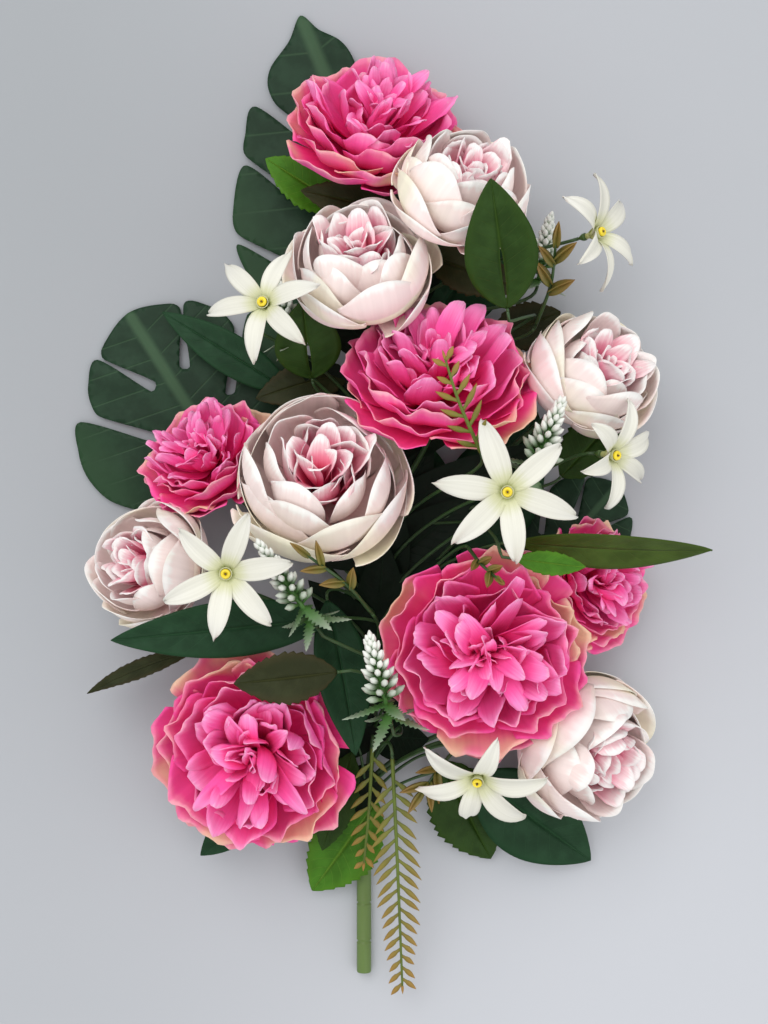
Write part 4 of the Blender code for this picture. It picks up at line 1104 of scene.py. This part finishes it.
# The profile of a ring joint: how far each point is above its middle, and outside the handle.
RING_PROFILE = ((-1.6, 0), (-1.2, 0.15), (-0.8, -0.1), (0, -0.6), (0.8, -0.1), (1.2, 0.15), (1.6, 0))
HANDLE_SIDES = 40


def make_handle():
    """The ringed handle, with its hollow mouth round the trunk."""
    profile = [(0.0, 0.35), (3.2, 0.3), (3.4, 0.0), (4.0, 0.15), (HANDLE_RADIUS, 0.9)]
    for middle in RING_PLACES:
        profile += [(HANDLE_RADIUS + out, middle + above) for above, out in RING_PROFILE]
    mouth = ((HANDLE_RADIUS, 1.2), (4.1, 0.3), (3.6, 0), (3.1, 0.3), (2.9, 2), (2.9, SOCKET_DEPTH))
    profile += [(radius, HANDLE_LENGTH - below) for radius, below in mouth]
    sheet = Sheet()
    turn = np.array([[0.0, 1.0, 0.0], [0.0, 0.0, 1.0], [1.0, 0.0, 0.0]])
    lathe_into(sheet, turn, np.zeros(3), profile, HANDLE_SIDES, 0.75)
    sheet.piece("handle_moulding", "handle", [STEM])


TRUNK_SPACING = 34
FINE_SPACING = 6
DETOUR_SPACING = 5
BRANCH_STEPS = 18
TRUNK_SIDES = 14
BRANCH_SIDES = 10


def tips_of_stems():
    """Every tip of the stem tree by the name of the piece on it. The trunk's own tip holds the top head."""
    tips = {}
    for head in PEONIES:
        name = "trunk" if head.share >= 1 else head.name
        tips[name] = Tip(*head_root(head), BRANCH_RADIUS, HEAD_RUN_IN, CALYX_RADIUS, CALYX_HEIGHT, head.share)
    for lily in LILIES:
        calyx = (LILY_CALYX_RADIUS, LILY_TUBE / 2)
        tips[lily.name] = Tip(*lily_root(lily), TWIG_RADIUS, LILY_RUN_IN, *calyx, lily.share)
    for leaf in LEAVES + MONSTERAS:
        root, _, direction, _, _ = leaf_axes(leaf)
        petiole = (PETIOLE_RADIUS, PETIOLE_RUN_IN, PETIOLE_RADIUS, PETIOLE_CUP)
        tips[leaf.name] = Tip(root, direction, *petiole, leaf.share)
    twig = (TWIG_RADIUS, TWIG_RUN_IN, TWIG_RADIUS, TWIG_CUP)
    for frond in FRONDS:
        direction = tangent_at(frond_line(frond, FINE_SPACING), 0)
        tips[frond.name] = Tip(seen(frond.root), direction, *twig, frond.share)
    for spike in SPIKES:
        direction = (seen(spike.tip) - seen(spike.root)).normalized()
        tips[spike.name] = Tip(seen(spike.root), direction, *twig, spike.share)
    return tips


def branch_line(trunk, tip, detour):
    start, direction = along(trunk, tip.share)
    foot = tip.place - tip.facing * tip.cup
    if detour:
        run_in = foot - tip.facing * DETOUR_RUN_IN
        return through([start] + [seen(place) for place in detour] + [run_in, foot], DETOUR_SPACING)
    leave = (direction + (foot - start).normalized()).normalized()
    shares = [step / BRANCH_STEPS for step in range(BRANCH_STEPS + 1)]
    return [bezier(start, leave, foot, tip.facing, tip.run_in, share) for share in shares]


CALYX_PROFILE = ((0.0, 0.28), (0.2, 0.40), (0.4, 0.66), (0.6, 0.88), (0.8, 0.98), (1.0, 1.0))
CALYX_SIDES = 16
SEPALS = 5
SEPAL_LENGTH = 17
SEPAL_WIDTH = 9


def calyx_into(sheet, tip):
    """The cup under a head: a smooth swelling with five green sepals round its rim."""
    line = [tip.place - tip.facing * (tip.cup * (1 - share)) for share, _ in CALYX_PROFILE]
    tube_into(sheet, line, [tip.calyx * width for _, width in CALYX_PROFILE], CALYX_SIDES, 0.35)
    if tip.calyx < CALYX_RADIUS:
        return
    side, up = frame_across(tip.facing, UP_THE_STEM)
    for k in range(SEPALS):
        out = around(side, up, 2 * math.pi * (k + 0.5) / SEPALS)
        aim = (out - tip.facing * 0.22).normalized()
        across = tip.facing.cross(out).normalized()
        foot = tip.place - tip.facing * 2.0 + out * 3.0
        blade_into(sheet, foot, aim, across, tip.facing, SEPAL_LENGTH, SEPAL_WIDTH, 0.10, (0.3, 0.9), 1, 11)


# Near-black leaves low on the stems, which stand as painted shade in the gaps between the heads:
# where each starts, where its tip lies and how wide it is.
SHADE_FILLERS = [
    ((8, 205, 14), (52, 250, 26), 30), ((10, 240, 16), (66, 286, 20), 32),
    ((9, 225, 14), (18, 292, 30), 30), ((10, 262, 15), (42, 318, 16), 30),
    ((8, 190, 14), (-34, 236, 28), 28), ((10, 280, 15), (-22, 346, 22), 30),
    ((9, 330, 14), (-44, 372, 18), 28), ((8, 372, 14), (-30, 404, 24), 26),
    ((10, 340, 14), (84, 366, 20), 30), ((8, 300, 14), (-58, 306, 18), 30),
    ((8, 176, 14), (-40, 170, 30), 28), ((7, 160, 12), (38, 190, 24), 28),
    ((9, 214, 14), (86, 236, 22), 30), ((7, 140, 10), (40, 140, 26), 26),
    ((8, 150, 12), (-32, 128, 30), 26), ((8, 392, 15), (52, 432, 22), 28),
    ((9, 250, 15), (-70, 272, 20), 30), ((9, 320, 14), (60, 326, 22), 30),
    ((9, 268, 15), (106, 318, 24), 30), ((8, 196, 13), (12, 262, 24), 30),
    ((7, 120, 8), (-20, 92, 22), 24),
]
FILLER_SLOT = 2


def shade_fillers_into(sheet):
    for start, end, width in SHADE_FILLERS:
        root, tip, direction, side, normal = leaf_axes(Leaf("", "", start, end, width, 0, 4, 0))
        length = (tip - root).length
        blade_into(sheet, root, direction, side, normal, length, width, 0.05, (0.0, 0.0), FILLER_SLOT, 13)


def make_stems():
    """The trunk, its branches with their calyxes, and the near-black filler leaves of painted shade."""
    tips = tips_of_stems()
    top = tips.pop("trunk")
    foot = Vector((0, HANDLE_LENGTH - SOCKET_DEPTH + SEAT_GAP, 0))
    mouth = Vector((0, HANDLE_LENGTH, 0))
    route = [mouth] + [seen(place) for place in TRUNK_ROUTE] + [top.place - top.facing * CALYX_HEIGHT]
    coarse = [foot] + through(route, TRUNK_SPACING)
    fine = [foot] + through(route, FINE_SPACING)
    last = len(fine) - 1
    radii = [TRUNK_RADIUS + (TRUNK_TIP_RADIUS - TRUNK_RADIUS) * k / last for k in range(len(fine))]
    sheet = Sheet()
    tube_into(sheet, fine, radii, TRUNK_SIDES)
    calyx_into(sheet, top)
    for name, tip in tips.items():
        line = branch_line(coarse, tip, DETOURS.get(name))
        radii = [tip.radius * (1 + 0.5 * math.exp(-k / 1.5)) for k in range(len(line))]
        tube_into(sheet, line, radii, BRANCH_SIDES)
        if tip.calyx > tip.radius:
            calyx_into(sheet, tip)
        else:
            tube_into(sheet, [line[-1], tip.place], [tip.radius, tip.radius], BRANCH_SIDES)
    shade_fillers_into(sheet)
    sheet.piece("stem_tree", "stems", [STEM, STEM, LEAF_LOOKS["deep"]])


# Floor, light and camera

FLOOR_SIZE = 6.0
FLOOR_ROUGHNESS = 0.7
FLOOR_SPECULAR = 0.2
FLOOR_PALE = (0.56, 0.58, 0.62)
FLOOR_PAINTED_SHADE = (0.35, 0.37, 0.39)
FLOOR_PATCH = (0.7, 0.7, 0.72)
CAMERA_HALF_TANGENT = 0.3072
WORLD_STRENGTH = 0.87
KEY_POWER = 9
FILL_POWER = 4
LIT_PLACE = (0.0, 0.27, 0.05)


def make_floor():
    """A pale floor with painted shade, which darkens it a little upwards and to the left."""
    low = CAD_BOX[0].z - FLOOR_DROP * MM
    mesh = bpy.data.meshes.new("floor")
    half = FLOOR_SIZE / 2
    corners = [(-half, -half, low), (half, -half, low), (half, half, low), (-half, half, low)]
    mesh.from_pydata(corners, [], [(0, 1, 2, 3)])
    floor = linked("floor", mesh)
    material, tree, shader = shader_of("pale_floor", FLOOR_ROUGHNESS, FLOOR_SPECULAR)
    place = object_place(tree)
    split = tree.nodes.new("ShaderNodeSeparateXYZ")
    tree.links.new(place, split.inputs[0])
    # Painted shade: the floor darkens as the light falls off upwards and to the left.
    upward = span(tree, split.outputs["Y"], -0.05, 0.5, 0.0, 0.5)
    leftward = span(tree, split.outputs["X"], 0.15, -0.22, 0.0, 0.5)
    soft = noise(tree, place, 6.0, 3.0)
    colour = blend_colours(tree, maths(tree, "ADD", upward, leftward), FLOOR_PALE, FLOOR_PAINTED_SHADE)
    colour = blend_colours(tree, times(tree, soft, 0.06), colour, FLOOR_PATCH)
    tree.links.new(colour, shader.inputs["Base Color"])
    mesh.materials.append(material)


def make_area(name, place, size, power):
    light = bpy.data.lights.new(name, "AREA")
    light.shape = "SQUARE"
    light.size = size
    light.energy = power
    lamp = linked(name, light)
    lamp.location = place
    lamp.rotation_euler = (Vector(LIT_PLACE) - Vector(place)).to_track_quat("-Z", "Y").to_euler()


def make_lights():
    world = bpy.data.worlds.new("studio")
    world.use_nodes = True
    ground = world.node_tree.nodes["Background"]
    ground.inputs["Color"].default_value = (1.0, 1.0, 1.0, 1)
    ground.inputs["Strength"].default_value = WORLD_STRENGTH
    bpy.context.scene.world = world
    make_area("key_light", (-0.5, 0.95, 1.5), 1.1, KEY_POWER)
    make_area("fill_light", (0.9, -0.3, 1.3), 1.4, FILL_POWER)


def make_camera():
    data = bpy.data.cameras.new("camera")
    data.sensor_fit = "VERTICAL"
    data.angle = 2 * math.atan(CAMERA_HALF_TANGENT)
    camera = linked("camera", data)
    camera.location = EYE * MM
    bpy.context.scene.camera = camera


# The seed of each kind's first piece.
SEEDS = {"peonies": 100, "lilies": 200, "leaves": 300, "fronds": 400, "spikes": 500}


def main():
    scene = bpy.context.scene
    scene.view_settings.view_transform = "Standard"
    make_camera()
    make_handle()
    make_stems()
    for index, head in enumerate(PEONIES):
        make_peony(head, SEEDS["peonies"] + index)
    for index, lily in enumerate(LILIES):
        make_lily(lily, SEEDS["lilies"] + index)
    for index, leaf in enumerate(LEAVES):
        make_leaf(leaf, SEEDS["leaves"] + index)
    for leaf, shape in zip(MONSTERAS, MONSTERA_SHAPES):
        make_monstera(leaf, *shape)
    for index, frond in enumerate(FRONDS):
        (make_fern if frond.kind == "fern" else make_bud_sprig)(frond, SEEDS["fronds"] + index)
    for index, spike in enumerate(SPIKES):
        make_spike(spike, SEEDS["spikes"] + index)
    make_floor()
    make_lights()


main()
